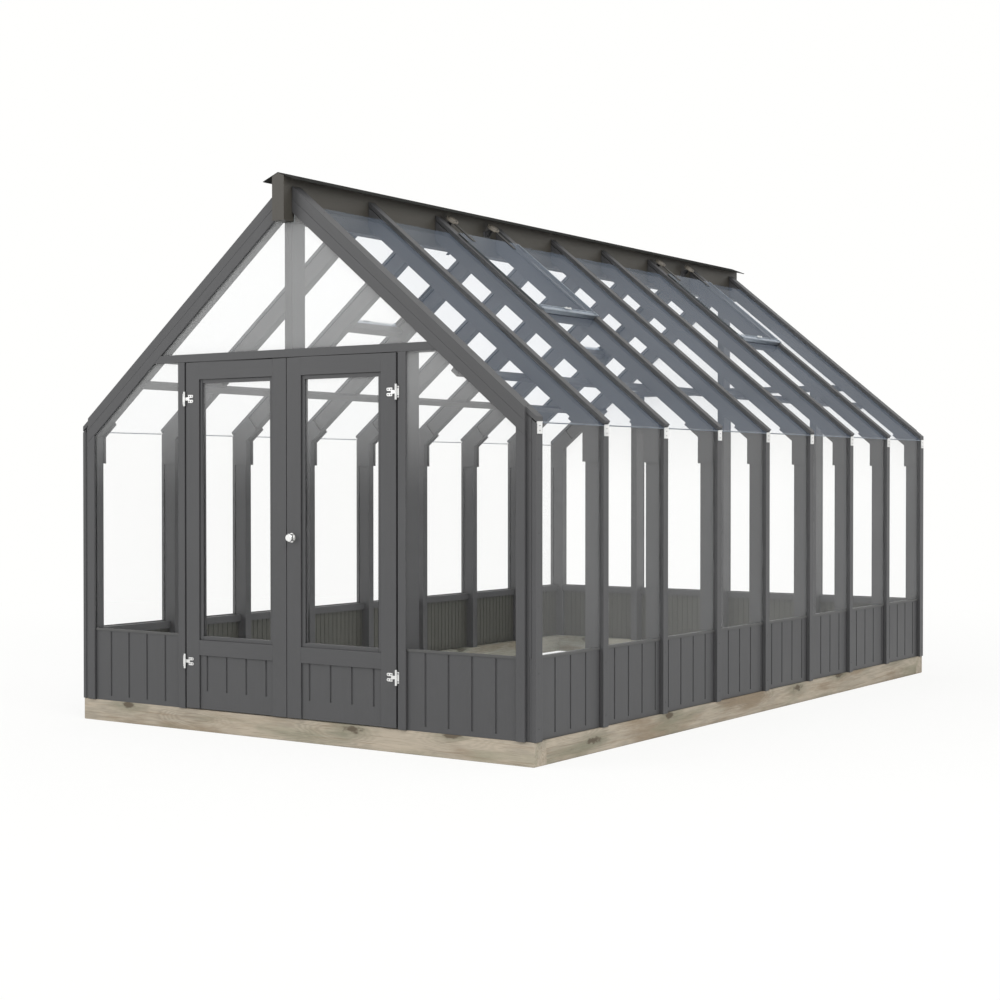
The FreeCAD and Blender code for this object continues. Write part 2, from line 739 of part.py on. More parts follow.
def sill_beads():
    """Thin beads on the joint of glass and cladding, between the strips."""
    z0 = SILL_HEIGHT - SILL_BEAD_RISE
    z1 = z0 + SILL_BEAD_HEIGHT
    beads = []
    for k in bays():
        y0, y1 = clear_span(k)
        if k == 0:
            y0 = -END_GLASS + END_STRIP_WIDTH
        if k == FRAME_COUNT - 2:
            y1 = END_GLASS - END_STRIP_WIDTH
        beads.append(box(GLASS_FACE, GLASS_FACE + SILL_BEAD_PROUD, y0, y1, z0, z1))
    y0 = -END_GLASS - SILL_BEAD_PROUD
    jamb = DOORWAY_HALF + JAMB_REVEAL + JAMB_BOARD
    front = box(jamb, CORNER_BOARD_IN, y0, -END_GLASS, z0, z1)
    side = box(JAMB_OUT, CORNER_BOARD_IN, y0, -END_GLASS, z0, z1)
    middle = box(TIMBER / 2.0, DOORWAY_HALF, y0, -END_GLASS, z0, z1)
    return both_sides(beads + [front, to_rear(side), to_rear(middle)])


# Side wall and roof glazing


def wall_glass():
    """Panes of the side walls."""
    panes = [box(POST_FACE, GLASS_FACE, *pane_span(k), SILL_HEIGHT, WALL_GLASS_HEAD) for k in bays()]
    return both_sides(panes)


def roof_glass():
    """Panes of the right slope; under a vent the pane is short."""
    vent_bays = [k for _, k in VENT_BAYS]
    panes = []
    for k in bays():
        top = LOWER_PANE_U if k in vent_bays else ROOF_GLASS_TOP_X / COS
        panes.append(prism_y(slope_bar(top, EAVE_U, 0, GLASS), *pane_span(k)))
    return panes


def strip_spans(k):
    """Y ranges of a cover strip and of its tongue on frame k."""
    y = FRAME_Y[k]
    tongue = PANE_GAP / 2.0 - TONGUE_PLAY
    if k == 0:
        return (-END_GLASS, -END_GLASS + END_STRIP_WIDTH), (-END_FACE, y + tongue)
    if k == FRAME_COUNT - 1:
        return (END_GLASS - END_STRIP_WIDTH, END_GLASS), (y - tongue, END_FACE)
    return (y - TIMBER / 2.0, y + TIMBER / 2.0), (y - tongue, y + tongue)


def wall_strips():
    """Cover strips on the posts, each with a tongue between the panes."""
    strips = []
    for k in range(FRAME_COUNT):
        face, tongue = strip_spans(k)
        head = WALL_STRIP_HEAD + WALL_STRIP * TAN
        cover = prism_y(upright(GLASS_FACE, WALL_FACE, BASE_HEIGHT, head, WALL_STRIP_HEAD), *face)
        low = box(CLAD_BACK, GLASS_FACE, *tongue, BASE_HEIGHT, SILL_HEIGHT)
        high = box(POST_FACE, GLASS_FACE, *tongue, SILL_HEIGHT, WALL_STRIP_HEAD)
        strips.append(fuse(cover, low, high))
    return both_sides(strips)


def strip_outline(end, low, high):
    """Part of a roof strip between two heights: cut plumb at the ridge beam, square at its foot."""
    x = BEAM_WIDTH / 2.0 + STRIP_BEAM_GAP
    return [(x, roof_z(x, low)), slope(end, low), slope(end, high), (x, roof_z(x, high))]


def end_cover(k, face):
    """Cover of the roof strip at a gable: cut plumb over the wall, with a flange down to the rafter board."""
    x = BEAM_WIDTH / 2.0 + STRIP_BEAM_GAP
    out = CORNER_BOARD_IN + BOARD_WIDTH
    z0 = roof_z(x, GLASS)
    z1 = roof_z(x, STRIP_TOP_H)
    flat = [(x, z0), (WALL_FACE, roof_z(WALL_FACE, GLASS)), (WALL_FACE, roof_z(WALL_FACE, STRIP_TOP_H)), (x, z1)]
    low = -END_STRIP_DROP
    flange = [(x, roof_z(x, low)), (out, roof_z(out, low)), (out, roof_z(out, STRIP_TOP_H)), (x, z1)]
    ends = (-END_BOARD, -END_GLASS) if k == 0 else (END_GLASS, END_BOARD)
    return fuse(prism_y(flat, *face), prism_y(flange, *ends))


def roof_strips():
    """Cover strips on the rafters, each with a tongue between the panes."""
    end = EAVE_U - STRIP_END_SETBACK
    foot = POST_FACE / COS
    strips = []
    for k in range(FRAME_COUNT):
        face, tongue = strip_spans(k)
        if k in (0, FRAME_COUNT - 1):
            cover = end_cover(k, face)
        else:
            cover = prism_y(strip_outline(end, GLASS, STRIP_TOP_H), *face)
        strips.append(fuse(cover, prism_y(strip_outline(foot, 0, GLASS), *tongue)))
    return both_sides(strips)


def clip_centres():
    """Y of the clip on each frame: the middle of the wall strip."""
    spans = [strip_spans(k)[0] for k in range(FRAME_COUNT)]
    return [(y0 + y1) / 2.0 for y0, y1 in spans]


def eave_point(u, x):
    """Point at x on the end face of a slope, u down the rafter."""
    return slope(u, (x - u * COS) / SIN)


def glass_clips():
    """Steel clips on the head of the wall strips, bent round the edge of the roof glass."""
    out = WALL_FACE + CLIP_SHEET
    end = EAVE_U + CLIP_SHEET
    outline = [
        (WALL_FACE, CLIP_FOOT),
        (out, CLIP_FOOT),
        eave_point(end, out),
        slope(end, CLIP_LIP),
        slope(EAVE_U, CLIP_LIP),
        eave_point(EAVE_U, WALL_FACE),
    ]
    half = CLIP_WIDE / 2.0
    return both_sides([prism_y(outline, y - half, y + half) for y in clip_centres()])


def clip_screws():
    """Two screw heads on each clip, one over the other."""
    x = WALL_FACE + CLIP_SHEET
    heads = []
    for y in clip_centres():
        for up in (CLIP_SCREW_EDGE, CLIP_SCREW_EDGE + CLIP_SCREW_PITCH):
            at = V(x, y, CLIP_FOOT + up)
            heads.append(Part.makeCylinder(CLIP_SCREW_R, CLIP_SCREW_HEAD, at, V(1, 0, 0)))
    return both_sides(heads)


# Doors, built as the right leaf; the left one is its mirror image but for the knob and the bolts


def leaf_frame():
    """Stiles, rails and glazing beads of the right leaf."""
    y0 = -END_BOARD
    y1 = -LEAF_BACK
    x0 = LEAF_IN + STILE
    x1 = LEAF_OUT - STILE
    meeting = box(LEAF_IN, x0, y0, y1, LEAF_FOOT, LEAF_HEAD)
    hanging = box(x1, LEAF_OUT, y0, y1, LEAF_FOOT, LEAF_HEAD)
    bottom = box(x0, x1, y0 + KICK_SETBACK + CLADDING, y1, LEAF_FOOT, LEAF_FOOT + BOTTOM_RAIL)
    middle = box(x0, x1, y0, y1, MID_RAIL_FOOT, MID_RAIL_FOOT + MID_RAIL)
    top = box(x0, x1, y0, y1, LEAF_HEAD - TOP_RAIL, LEAF_HEAD)
    return [meeting, hanging, bottom, middle, top]


def leaf_light():
    """Opening of the right leaf for its glass: x and z ranges."""
    z0 = MID_RAIL_FOOT + MID_RAIL
    return LEAF_IN + STILE, LEAF_OUT - STILE, z0, LEAF_HEAD - TOP_RAIL


def leaf_beads():
    """Glazing beads on both faces of the glass."""
    x0, x1, z0, z1 = leaf_light()
    b = BEAD_WIDTH
    beads = []
    for y0 in (-END_BOARD + BEAD_SETBACK, -END_BOARD + BEAD_SETBACK + BEAD_THICKNESS + GLASS):
        y1 = y0 + BEAD_THICKNESS
        beads.append(box(x0, x0 + b, y0, y1, z0, z1))
        beads.append(box(x1 - b, x1, y0, y1, z0, z1))
        beads.append(box(x0 + b, x1 - b, y0, y1, z0, z0 + b))
        beads.append(box(x0 + b, x1 - b, y0, y1, z1 - b, z1))
    return beads


def leaf_glass():
    """Pane of the right leaf, between its beads."""
    x0, x1, z0, z1 = leaf_light()
    p = PANE_PLAY
    y0 = -END_BOARD + BEAD_SETBACK + BEAD_THICKNESS
    return box(x0 + p, x1 - p, y0, y0 + GLASS, z0 + p, z1 - p)


def leaf_panel():
    """Grooved kick panel of the right leaf, over its bottom rail."""
    x0 = LEAF_IN + STILE
    x1 = LEAF_OUT - STILE
    z0 = LEAF_FOOT + BOTTOM_RAIL
    y0 = -END_BOARD + KICK_SETBACK
    panel = box(x0, x1, y0, y0 + CLADDING, LEAF_FOOT, MID_RAIL_FOOT)
    first = (x0 + x1) / 2.0 - GROOVE_PITCH * (KICK_GROOVES - 1) / 2.0
    w = GROOVE_WIDTH / 2.0
    for n in range(KICK_GROOVES):
        x = first + GROOVE_PITCH * n
        panel = panel.cut(box(x - w, x + w, y0, y0 + GROOVE_DEPTH, z0, MID_RAIL_FOOT))
    return panel


def hinge_bore(radius, z0, z1):
    """Round bar on the axis of the right leaf's hinges."""
    return rod_z(HINGE_AXIS_X, HINGE_AXIS_Y, radius, z0, z1)


def hinge_plate(z):
    """Fixed half of a hinge at height z: a plate on the jamb strip, and a knuckle at each end of it."""
    half = HINGE_TALL / 2.0
    tall = HINGE_PLATE_TALL / 2.0
    mid = HINGE_LEAF_KNUCKLE / 2.0 + RUN_GAP
    x1 = HINGE_AXIS_X + HINGE_JAMB_REACH
    plate = box(HINGE_AXIS_X, x1, -END_BOARD - HINGE_PLATE, -END_BOARD, z - tall, z + tall)
    low = hinge_bore(HINGE_KNUCKLE_R, z - half, z - mid)
    high = hinge_bore(HINGE_KNUCKLE_R, z + mid, z + half)
    relief = hinge_bore(HINGE_KNUCKLE_R + RUN_GAP, z - mid, z + mid)
    bore = hinge_bore(HINGE_PIN_R + PIN_CLEARANCE, z - half, z + half)
    return fuse(plate.cut(relief), low, high).cut(bore)


def hinge_leaf(z):
    """Moving half of a hinge at height z: a knuckle, a neck, and two tabs on the door leaf."""
    half = HINGE_LEAF_KNUCKLE / 2.0
    tab = HINGE_TAB_TALL / 2.0
    neck = HINGE_NECK / 2.0
    x0 = HINGE_AXIS_X - HINGE_TAB_REACH
    x1 = HINGE_AXIS_X - HINGE_TAB_START
    y0 = -END_BOARD - HINGE_PLATE
    pieces = [hinge_bore(HINGE_KNUCKLE_R, z - half, z + half)]
    pieces.append(box(HINGE_AXIS_X - HINGE_NECK_REACH, HINGE_AXIS_X, y0, -END_BOARD, z - neck, z + neck))
    for at in (z - HINGE_TAB_PITCH / 2.0, z + HINGE_TAB_PITCH / 2.0):
        pieces.append(box(x0 + tab, x1, y0, -END_BOARD, at - tab, at + tab))
        pieces.append(rod_y(x0 + tab, at, tab, y0, -END_BOARD))
    bore = hinge_bore(HINGE_PIN_R + PIN_CLEARANCE, z - half, z + half)
    return fuse(*pieces).cut(bore)


def hinge_pin(z):
    """Pin of a hinge at height z."""
    return hinge_bore(HINGE_PIN_R, z - HINGE_TALL / 2.0, z + HINGE_TALL / 2.0)


def spindle_hole():
    """Hole for the knob's spindle, through the leaf and its roses."""
    radius = SPINDLE_R + SPINDLE_CLEARANCE
    return rod_y(KNOB_X, KNOB_Z, radius, -END_BOARD - ROSE_THICKNESS, -LEAF_BACK + INNER_ROSE)


def knob_roses():
    """Round plates on both faces of the right leaf, round the spindle."""
    outer = rod_y(KNOB_X, KNOB_Z, ROSE_R, -END_BOARD - ROSE_THICKNESS, -END_BOARD)
    inner = rod_y(KNOB_X, KNOB_Z, ROSE_R, -LEAF_BACK, -LEAF_BACK + INNER_ROSE)
    return [outer.cut(spindle_hole()), inner.cut(spindle_hole())]


def door_knob():
    """Round knob with its spindle, and the turn catch on its inner end, upright when at rest."""
    face = -END_BOARD - ROSE_THICKNESS - RUN_GAP
    tip = -END_BOARD - KNOB_REACH
    neck = face - KNOB_NECK
    shoulder = neck - KNOB_SHOULDER
    rim = shoulder - KNOB_RIM
    profile = [(0, face), (KNOB_NECK_R, face), (KNOB_NECK_R, neck), (KNOB_R, shoulder)]
    profile += [(KNOB_R, rim), (KNOB_FACE_R, tip), (0, tip)]
    ring = [V(KNOB_X + r, y, KNOB_Z) for r, y in profile]
    knob = Part.Face(Part.makePolygon(ring + ring[:1])).revolve(V(KNOB_X, 0, KNOB_Z), V(0, 1, 0), 360)
    back = -LEAF_BACK + INNER_ROSE + RUN_GAP
    end = back + CATCH_THICKNESS
    spindle = rod_y(KNOB_X, KNOB_Z, SPINDLE_R, face, back)
    w = CATCH_WIDTH / 2.0
    head = KNOB_Z + CATCH_LENGTH - w
    arm = box(KNOB_X - w, KNOB_X + w, back, end, KNOB_Z, head)
    eye = rod_y(KNOB_X, KNOB_Z, w, back, end)
    nose = rod_y(KNOB_X, head, w, back, end)
    return [fuse(knob, spindle), fuse(arm, eye, nose)]


def bolt_case(z0):
    """Case of a bolt on the inner face of the left leaf."""
    half = BOLT_CASE_WIDE / 2.0
    z1 = z0 + BOLT_CASE_TALL
    case = box(-BOLT_X - half, -BOLT_X + half, -LEAF_BACK, -LEAF_BACK + BOLT_CASE_DEEP, z0, z1)
    return case.cut(rod_z(-BOLT_X, BOLT_Y, BOLT_R + BOLT_CLEARANCE, z0, z1))


def bolt_cases():
    """Cases of the top and the bottom bolt."""
    top = LEAF_HEAD - BOLT_CASE_EDGE - BOLT_CASE_TALL
    return [bolt_case(top), bolt_case(LEAF_FOOT + BOLT_CASE_EDGE)]


def bolt(z0, grip_z):
    """Round bolt from z0 up, with a grip that points into the house."""
    rod = rod_z(-BOLT_X, BOLT_Y, BOLT_R, z0, z0 + BOLT_LENGTH)
    return fuse(rod, rod_y(-BOLT_X, grip_z, BOLT_GRIP_R, BOLT_Y, BOLT_Y + BOLT_GRIP))


def top_bolt():
    """Top bolt, drawn down clear of the transom."""
    z0 = LEAF_HEAD - BOLT_SET_BACK - BOLT_LENGTH
    return [bolt(z0, z0 + BOLT_GRIP_FOOT)]


def bottom_bolt():
    """Bottom bolt, drawn up clear of the base."""
    z0 = LEAF_FOOT + BOLT_SET_BACK
    return [bolt(z0, z0 + BOLT_LENGTH - BOLT_GRIP_FOOT)]


def export_doors():
    """Write both leaves and what is on them."""
    frame = leaf_frame()
    frame[0] = frame[0].cut(spindle_hole())
    export("right_door_frame", frame + leaf_beads())
    export("right_door_glass", [leaf_glass()])
    export("right_door_panel", [leaf_panel()])
    export("right_door_hinges", [hinge_leaf(z) for z in HINGE_HEIGHTS])
    export("left_door_frame", [across(s) for s in leaf_frame() + leaf_beads()])
    export("left_door_glass", [across(leaf_glass())])
    export("left_door_panel", [across(leaf_panel())])
    export("left_door_hinges", [across(hinge_leaf(z)) for z in HINGE_HEIGHTS])
    export("door_hinge_plates", both_sides([hinge_plate(z) for z in HINGE_HEIGHTS]))
    export("door_hinge_pins", both_sides([hinge_pin(z) for z in HINGE_HEIGHTS]))
    export("knob_roses", knob_roses())
    export("door_knob", door_knob())
    export("bolt_cases", bolt_cases())
    export("top_bolt", top_bolt())
    export("bottom_bolt", bottom_bolt())


# Roof vents, built on the right slope


def vent_hinge_ys(k):
    """Y of the two hinges of the vent in bay k, each set off from the frame beside it."""
    return FRAME_Y[k] + VENT_HINGE_FROM_FRONT, FRAME_Y[k + 1] - VENT_HINGE_FROM_REAR


def vent_glass(k):
    """Pane of a vent, above the cover strips on both sides of its bay."""
    y0 = FRAME_Y[k] + VENT_SIDE_GAP
    y1 = FRAME_Y[k + 1] - VENT_SIDE_GAP
    return prism_y(slope_bar(VENT_TOP_U, VENT_FOOT_U, VENT_GLASS_H, VENT_TOP_H), y0, y1)


def vent_edges(k):
    """Edge bars under the sides of the pane; they rest on the cover strips."""
    outline = slope_bar(VENT_TOP_U, VENT_FOOT_U, VENT_GLASS_H - VENT_EDGE_TALL, VENT_GLASS_H)
    y0 = FRAME_Y[k] + VENT_SIDE_GAP
    y1 = FRAME_Y[k + 1] - VENT_SIDE_GAP
    return [prism_y(outline, y0, y0 + VENT_EDGE_WIDE), prism_y(outline, y1 - VENT_EDGE_WIDE, y1)]


def stay_y(k):
    """Y of the stay of the vent in bay k, beside the rear rafter of the bay."""
    return clear_span(k)[1] - STAY_FROM_RAFTER


def vent_bar(k):
    """Bottom bar of a vent, with two ears and a pin for its stay."""
    y0, y1 = clear_span(k)
    u0 = VENT_FOOT_U - VENT_BAR_WIDE
    foot = GLASS + VENT_BAR_FOOT_GAP
    outline = slope_bar(u0, VENT_FOOT_U, foot, VENT_GLASS_H)
    bar = prism_y(outline, y0 + VENT_BAR_END_GAP, y1 - VENT_BAR_END_GAP)
    ear = slope_bar(STAY_U, u0, STAY_H - STAY_EYE_R, STAY_H + STAY_EYE_R)
    x, z = slope(STAY_U, STAY_H)
    y = stay_y(k)
    near = STAY_WIDE / 2.0 + LUG_GAP
    far = near + LUG
    pieces = [bar, rod_y(x, z, STAY_PIN_R, y - far, y + far)]
    for a, b in ((y - far, y - near), (y + near, y + far)):
        pieces.append(prism_y(ear, a, b))
        pieces.append(rod_y(x, z, STAY_EYE_R, a, b))
    return fuse(*pieces)


def vent_hinge(y):
    """Strap on the top edge of a vent's pane, with its knuckle and its round cover."""
    half = VENT_KNUCKLE_WIDE / 2.0
    x, z = slope(VENT_AXIS_U, VENT_AXIS_H)
    end = VENT_TOP_U + VENT_STRAP_LAP
    strap = prism_y(slope_bar(VENT_AXIS_U, end, VENT_TOP_H, VENT_TOP_H + VENT_STRAP), y - half, y + half)
    knuckle = rod_y(x, z, VENT_KNUCKLE_R, y - half, y + half)
    cx, cz = slope(VENT_AXIS_U, VENT_AXIS_H + VENT_DISC_RISE)
    disc = Part.makeCylinder(VENT_DISC_R, VENT_DISC, V(cx, y, cz), V(SIN, 0, COS))
    bore = rod_y(x, z, VENT_PIN_R + PIN_CLEARANCE, y - half, y + half)
    return fuse(strap, knuckle, disc).cut(bore)


def vent_bracket(y):
    """Bracket on the side of the ridge beam, with two ears for a vent's hinge pin."""
    x, z = slope(VENT_AXIS_U, VENT_AXIS_H)
    x0 = BEAM_WIDTH / 2.0
    x1 = x0 + LUG_PLATE
    head = z - LUG_ROOT_DROP
    foot = head - LUG_ROOT_TALL
    plate = box(x0, x1, y - LUG_PLATE_WIDE / 2.0, y + LUG_PLATE_WIDE / 2.0, foot, head)
    arm = [(x0, foot), (x0, head), (x, z + LUG_BOSS_R / 2.0), (x, z - LUG_BOSS_R / 2.0)]
    near = VENT_KNUCKLE_WIDE / 2.0 + LUG_GAP
    far = near + LUG
    pieces = [plate]
    for a, b in ((y - far, y - near), (y + near, y + far)):
        pieces.append(prism_y(arm, a, b))
        pieces.append(rod_y(x, z, LUG_BOSS_R, a, b))
    bore = rod_y(x, z, VENT_PIN_R + PIN_CLEARANCE, y - far, y + far)
    return fuse(*pieces).cut(bore)


def vent_pin(y):
    """Hinge pin of a vent."""
    x, z = slope(VENT_AXIS_U, VENT_AXIS_H)
    far = VENT_KNUCKLE_WIDE / 2.0 + LUG_GAP + LUG
    return rod_y(x, z, VENT_PIN_R, y - far, y + far)


def vent_stay(k):
    """Prop stay, folded up under the pane when at rest."""
    y = stay_y(k)
    half = STAY_WIDE / 2.0
    x, z = slope(STAY_U, STAY_H)
    t = STAY_THICK / 2.0
    bar = prism_y(slope_bar(STAY_U - STAY_LENGTH, STAY_U, STAY_H - t, STAY_H + t), y - half, y + half)
    eye = rod_y(x, z, STAY_EYE_R, y - half, y + half)
    bore = rod_y(x, z, STAY_PIN_R + PIN_CLEARANCE, y - half, y + half)
    return fuse(bar, eye).cut(bore)


def export_vents():
    """Write the four vents, and the hinge brackets and pins on the ridge beam."""
    ys = [y for _, k in VENT_BAYS for y in vent_hinge_ys(k)]
    export("vent_hinge_brackets", both_sides([vent_bracket(y) for y in ys]))
    export("vent_hinge_pins", both_sides([vent_pin(y) for y in ys]))
    for place, k in VENT_BAYS:
        fittings = vent_edges(k) + [vent_bar(k)] + [vent_hinge(y) for y in vent_hinge_ys(k)]
        export("right_%s_vent_glass" % place, [vent_glass(k)])
        export("right_%s_vent_fittings" % place, fittings)
        export("right_%s_vent_stay" % place, [vent_stay(k)])
        export("left_%s_vent_glass" % place, [across(vent_glass(k))])
        export("left_%s_vent_fittings" % place, [across(f) for f in fittings])
        export("left_%s_vent_stay" % place, [across(vent_stay(k))])


def export_house():
    """Write everything that stands still, apart from the hinges' fixed halves."""
    export("base_timbers", base_timbers())
    export("corner_posts", corner_posts())
    export("wall_posts", inner_frames(post_outline()))
    export("gable_rafters", gable_rafters())
    export("roof_rafters", inner_frames(rafter_outline()))
    export("eave_gussets", eave_gussets())
    export("ridge_beam", ridge_beam())
    export("ridge_cap", ridge_cap())
    export("purlins", purlins())
    export("vent_trimmers", vent_trimmers())
    export("door_jambs", door_jambs())
    export("rear_studs", rear_studs())
    export("king_posts", king_posts())
    export("gable_transoms", gable_transoms())
    export("corner_boards", corner_boards())
    export("rafter_boards", rafter_boards())
    export("gable_boards", gable_boards())
    export("gable_glass", gable_glass())
    export("wall_cladding", wall_cladding())
    export("gable_cladding", gable_cladding())
    export("wall_rails", wall_rails())
    export("wall_linings", wall_linings())
    export("sill_beads", sill_beads())
    export("wall_glass", wall_glass())
    export("right_roof_glass", roof_glass())
    export("left_roof_glass", [across(p) for p in roof_glass()])
    export("wall_strips", wall_strips())
    export("roof_strips", roof_strips())
    export("glass_clips", glass_clips())
    export("clip_screws", clip_screws())


export_house()
export_doors()
export_vents()
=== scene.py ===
"""Looks of a wooden greenhouse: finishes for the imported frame, its small fittings, studio and camera."""

import json
import logging
import math
from dataclasses import dataclass, field
from enum import Enum
from typing import Iterable, Sequence, Union

import bpy
from mathutils import Matrix, Vector

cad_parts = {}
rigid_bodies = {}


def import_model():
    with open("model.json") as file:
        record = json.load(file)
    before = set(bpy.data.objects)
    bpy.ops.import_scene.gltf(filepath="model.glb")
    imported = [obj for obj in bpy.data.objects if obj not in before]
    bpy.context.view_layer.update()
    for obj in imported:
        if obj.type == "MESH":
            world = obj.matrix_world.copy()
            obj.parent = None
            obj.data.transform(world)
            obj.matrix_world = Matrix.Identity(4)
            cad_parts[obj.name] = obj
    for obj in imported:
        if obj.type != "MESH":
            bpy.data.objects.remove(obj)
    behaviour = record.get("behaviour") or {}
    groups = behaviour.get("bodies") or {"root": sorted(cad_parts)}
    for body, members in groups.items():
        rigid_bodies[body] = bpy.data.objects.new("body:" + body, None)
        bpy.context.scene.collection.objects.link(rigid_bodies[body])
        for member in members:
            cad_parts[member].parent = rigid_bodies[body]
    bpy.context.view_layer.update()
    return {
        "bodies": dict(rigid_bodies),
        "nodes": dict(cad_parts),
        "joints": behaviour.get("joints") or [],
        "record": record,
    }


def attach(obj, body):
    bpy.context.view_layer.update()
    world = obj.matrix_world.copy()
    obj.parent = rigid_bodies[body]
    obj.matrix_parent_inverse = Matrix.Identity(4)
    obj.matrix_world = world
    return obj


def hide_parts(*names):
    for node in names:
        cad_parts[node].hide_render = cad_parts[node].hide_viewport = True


LOG = logging.getLogger("greenhouse")

Triple = tuple[float, float, float]
Colour = Triple
Head = tuple[float, float, int]
Socket = bpy.types.NodeSocket
Node = bpy.types.Node
NodeTree = bpy.types.NodeTree
Material = bpy.types.Material
Piece = bpy.types.Object
Feed = Union[Socket, float, Sequence[float]]

VALUE, VECTOR = "NodeSocketFloat", "NodeSocketVector"
ACROSS = Matrix.Rotation(math.pi / 2.0, 4, "Z")
HANDS = {-1: "left", 1: "right"}


def linear(level: int) -> float:
    """Linear light of one channel on a 0 to 255 scale."""
    value = level / 255.0
    return value / 12.92 if value <= 0.04045 else ((value + 0.055) / 1.055) ** 2.4


def painted(red: int, green: int, blue: int) -> Colour:
    """Linear colour of a swatch read on a 0 to 255 scale."""
    return linear(red), linear(green), linear(blue)


def shaded(colour: Colour, gain: float) -> Colour:
    """A colour made lighter or darker."""
    return colour[0] * gain, colour[1] * gain, colour[2] * gain


class Grain(Enum):
    """Way that the fibres of a timber run; the value names an output of the fibre group."""

    UPRIGHT = "Upright"
    LENGTHWISE = "Lengthwise"
    CROSSWISE = "Crosswise"
    PITCHED = "Pitched"
    LEAF = "Leaf"
    ROUND_HOUSE = "Round House"


@dataclass(frozen=True)
class HouseSizes:
    """Main sizes of the house, in metres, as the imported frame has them."""

    end_centre: float = 2.331
    frames: int = 9
    pitch: float = math.radians(39.1)
    apex: float = 2.727
    wall_face: float = 1.457
    glass_face: float = 1.436
    gable_face: float = 2.372
    gable_inside: float = 2.26
    leaf_rail_centre: float = 0.3405
    leaf_rail_half: float = 0.2485
    glass: float = 0.004
    strip_rise: float = 0.024
    strip_half: float = 0.024
    ridge_top: float = 2.790
    cap_pitch: float = math.radians(21.4)

    def frame_ys(self) -> list[float]:
        """Places of the portal frames along the house."""
        step = 2.0 * self.end_centre / (self.frames - 1)
        return [-self.end_centre + step * k for k in range(self.frames)]

    def on_slope(self, side: int, down: float, above: float, y: float) -> Vector:
        """Point on a roof slope.

        Args:
            side: 1 for the right slope, -1 for the left one.
            down: Distance from the apex along the rafter's top edge.
            above: Height square to the rafter's top edge.
            y: Place along the house.

        Returns:
            The point.
        """
        sin, cos = math.sin(self.pitch), math.cos(self.pitch)
        return Vector((side * (down * cos + above * sin), y, self.apex - down * sin + above * cos))

    def slope_normal(self, side: int) -> Vector:
        """Outward normal of a roof slope."""
        return Vector((side * math.sin(self.pitch), 0.0, math.cos(self.pitch)))

    def lying(self, side: int, down: float, above: float, y: float) -> Matrix:
        """Place of a piece that lies at such a point, with its X down the slope and its Z outward."""
        turn = Matrix.Rotation(math.pi if side < 0 else 0.0, 4, "Z") @ Matrix.Rotation(self.pitch, 4, "Y")
        return Matrix.Translation(self.on_slope(side, down, above, y)) @ turn


SIZES = HouseSizes()


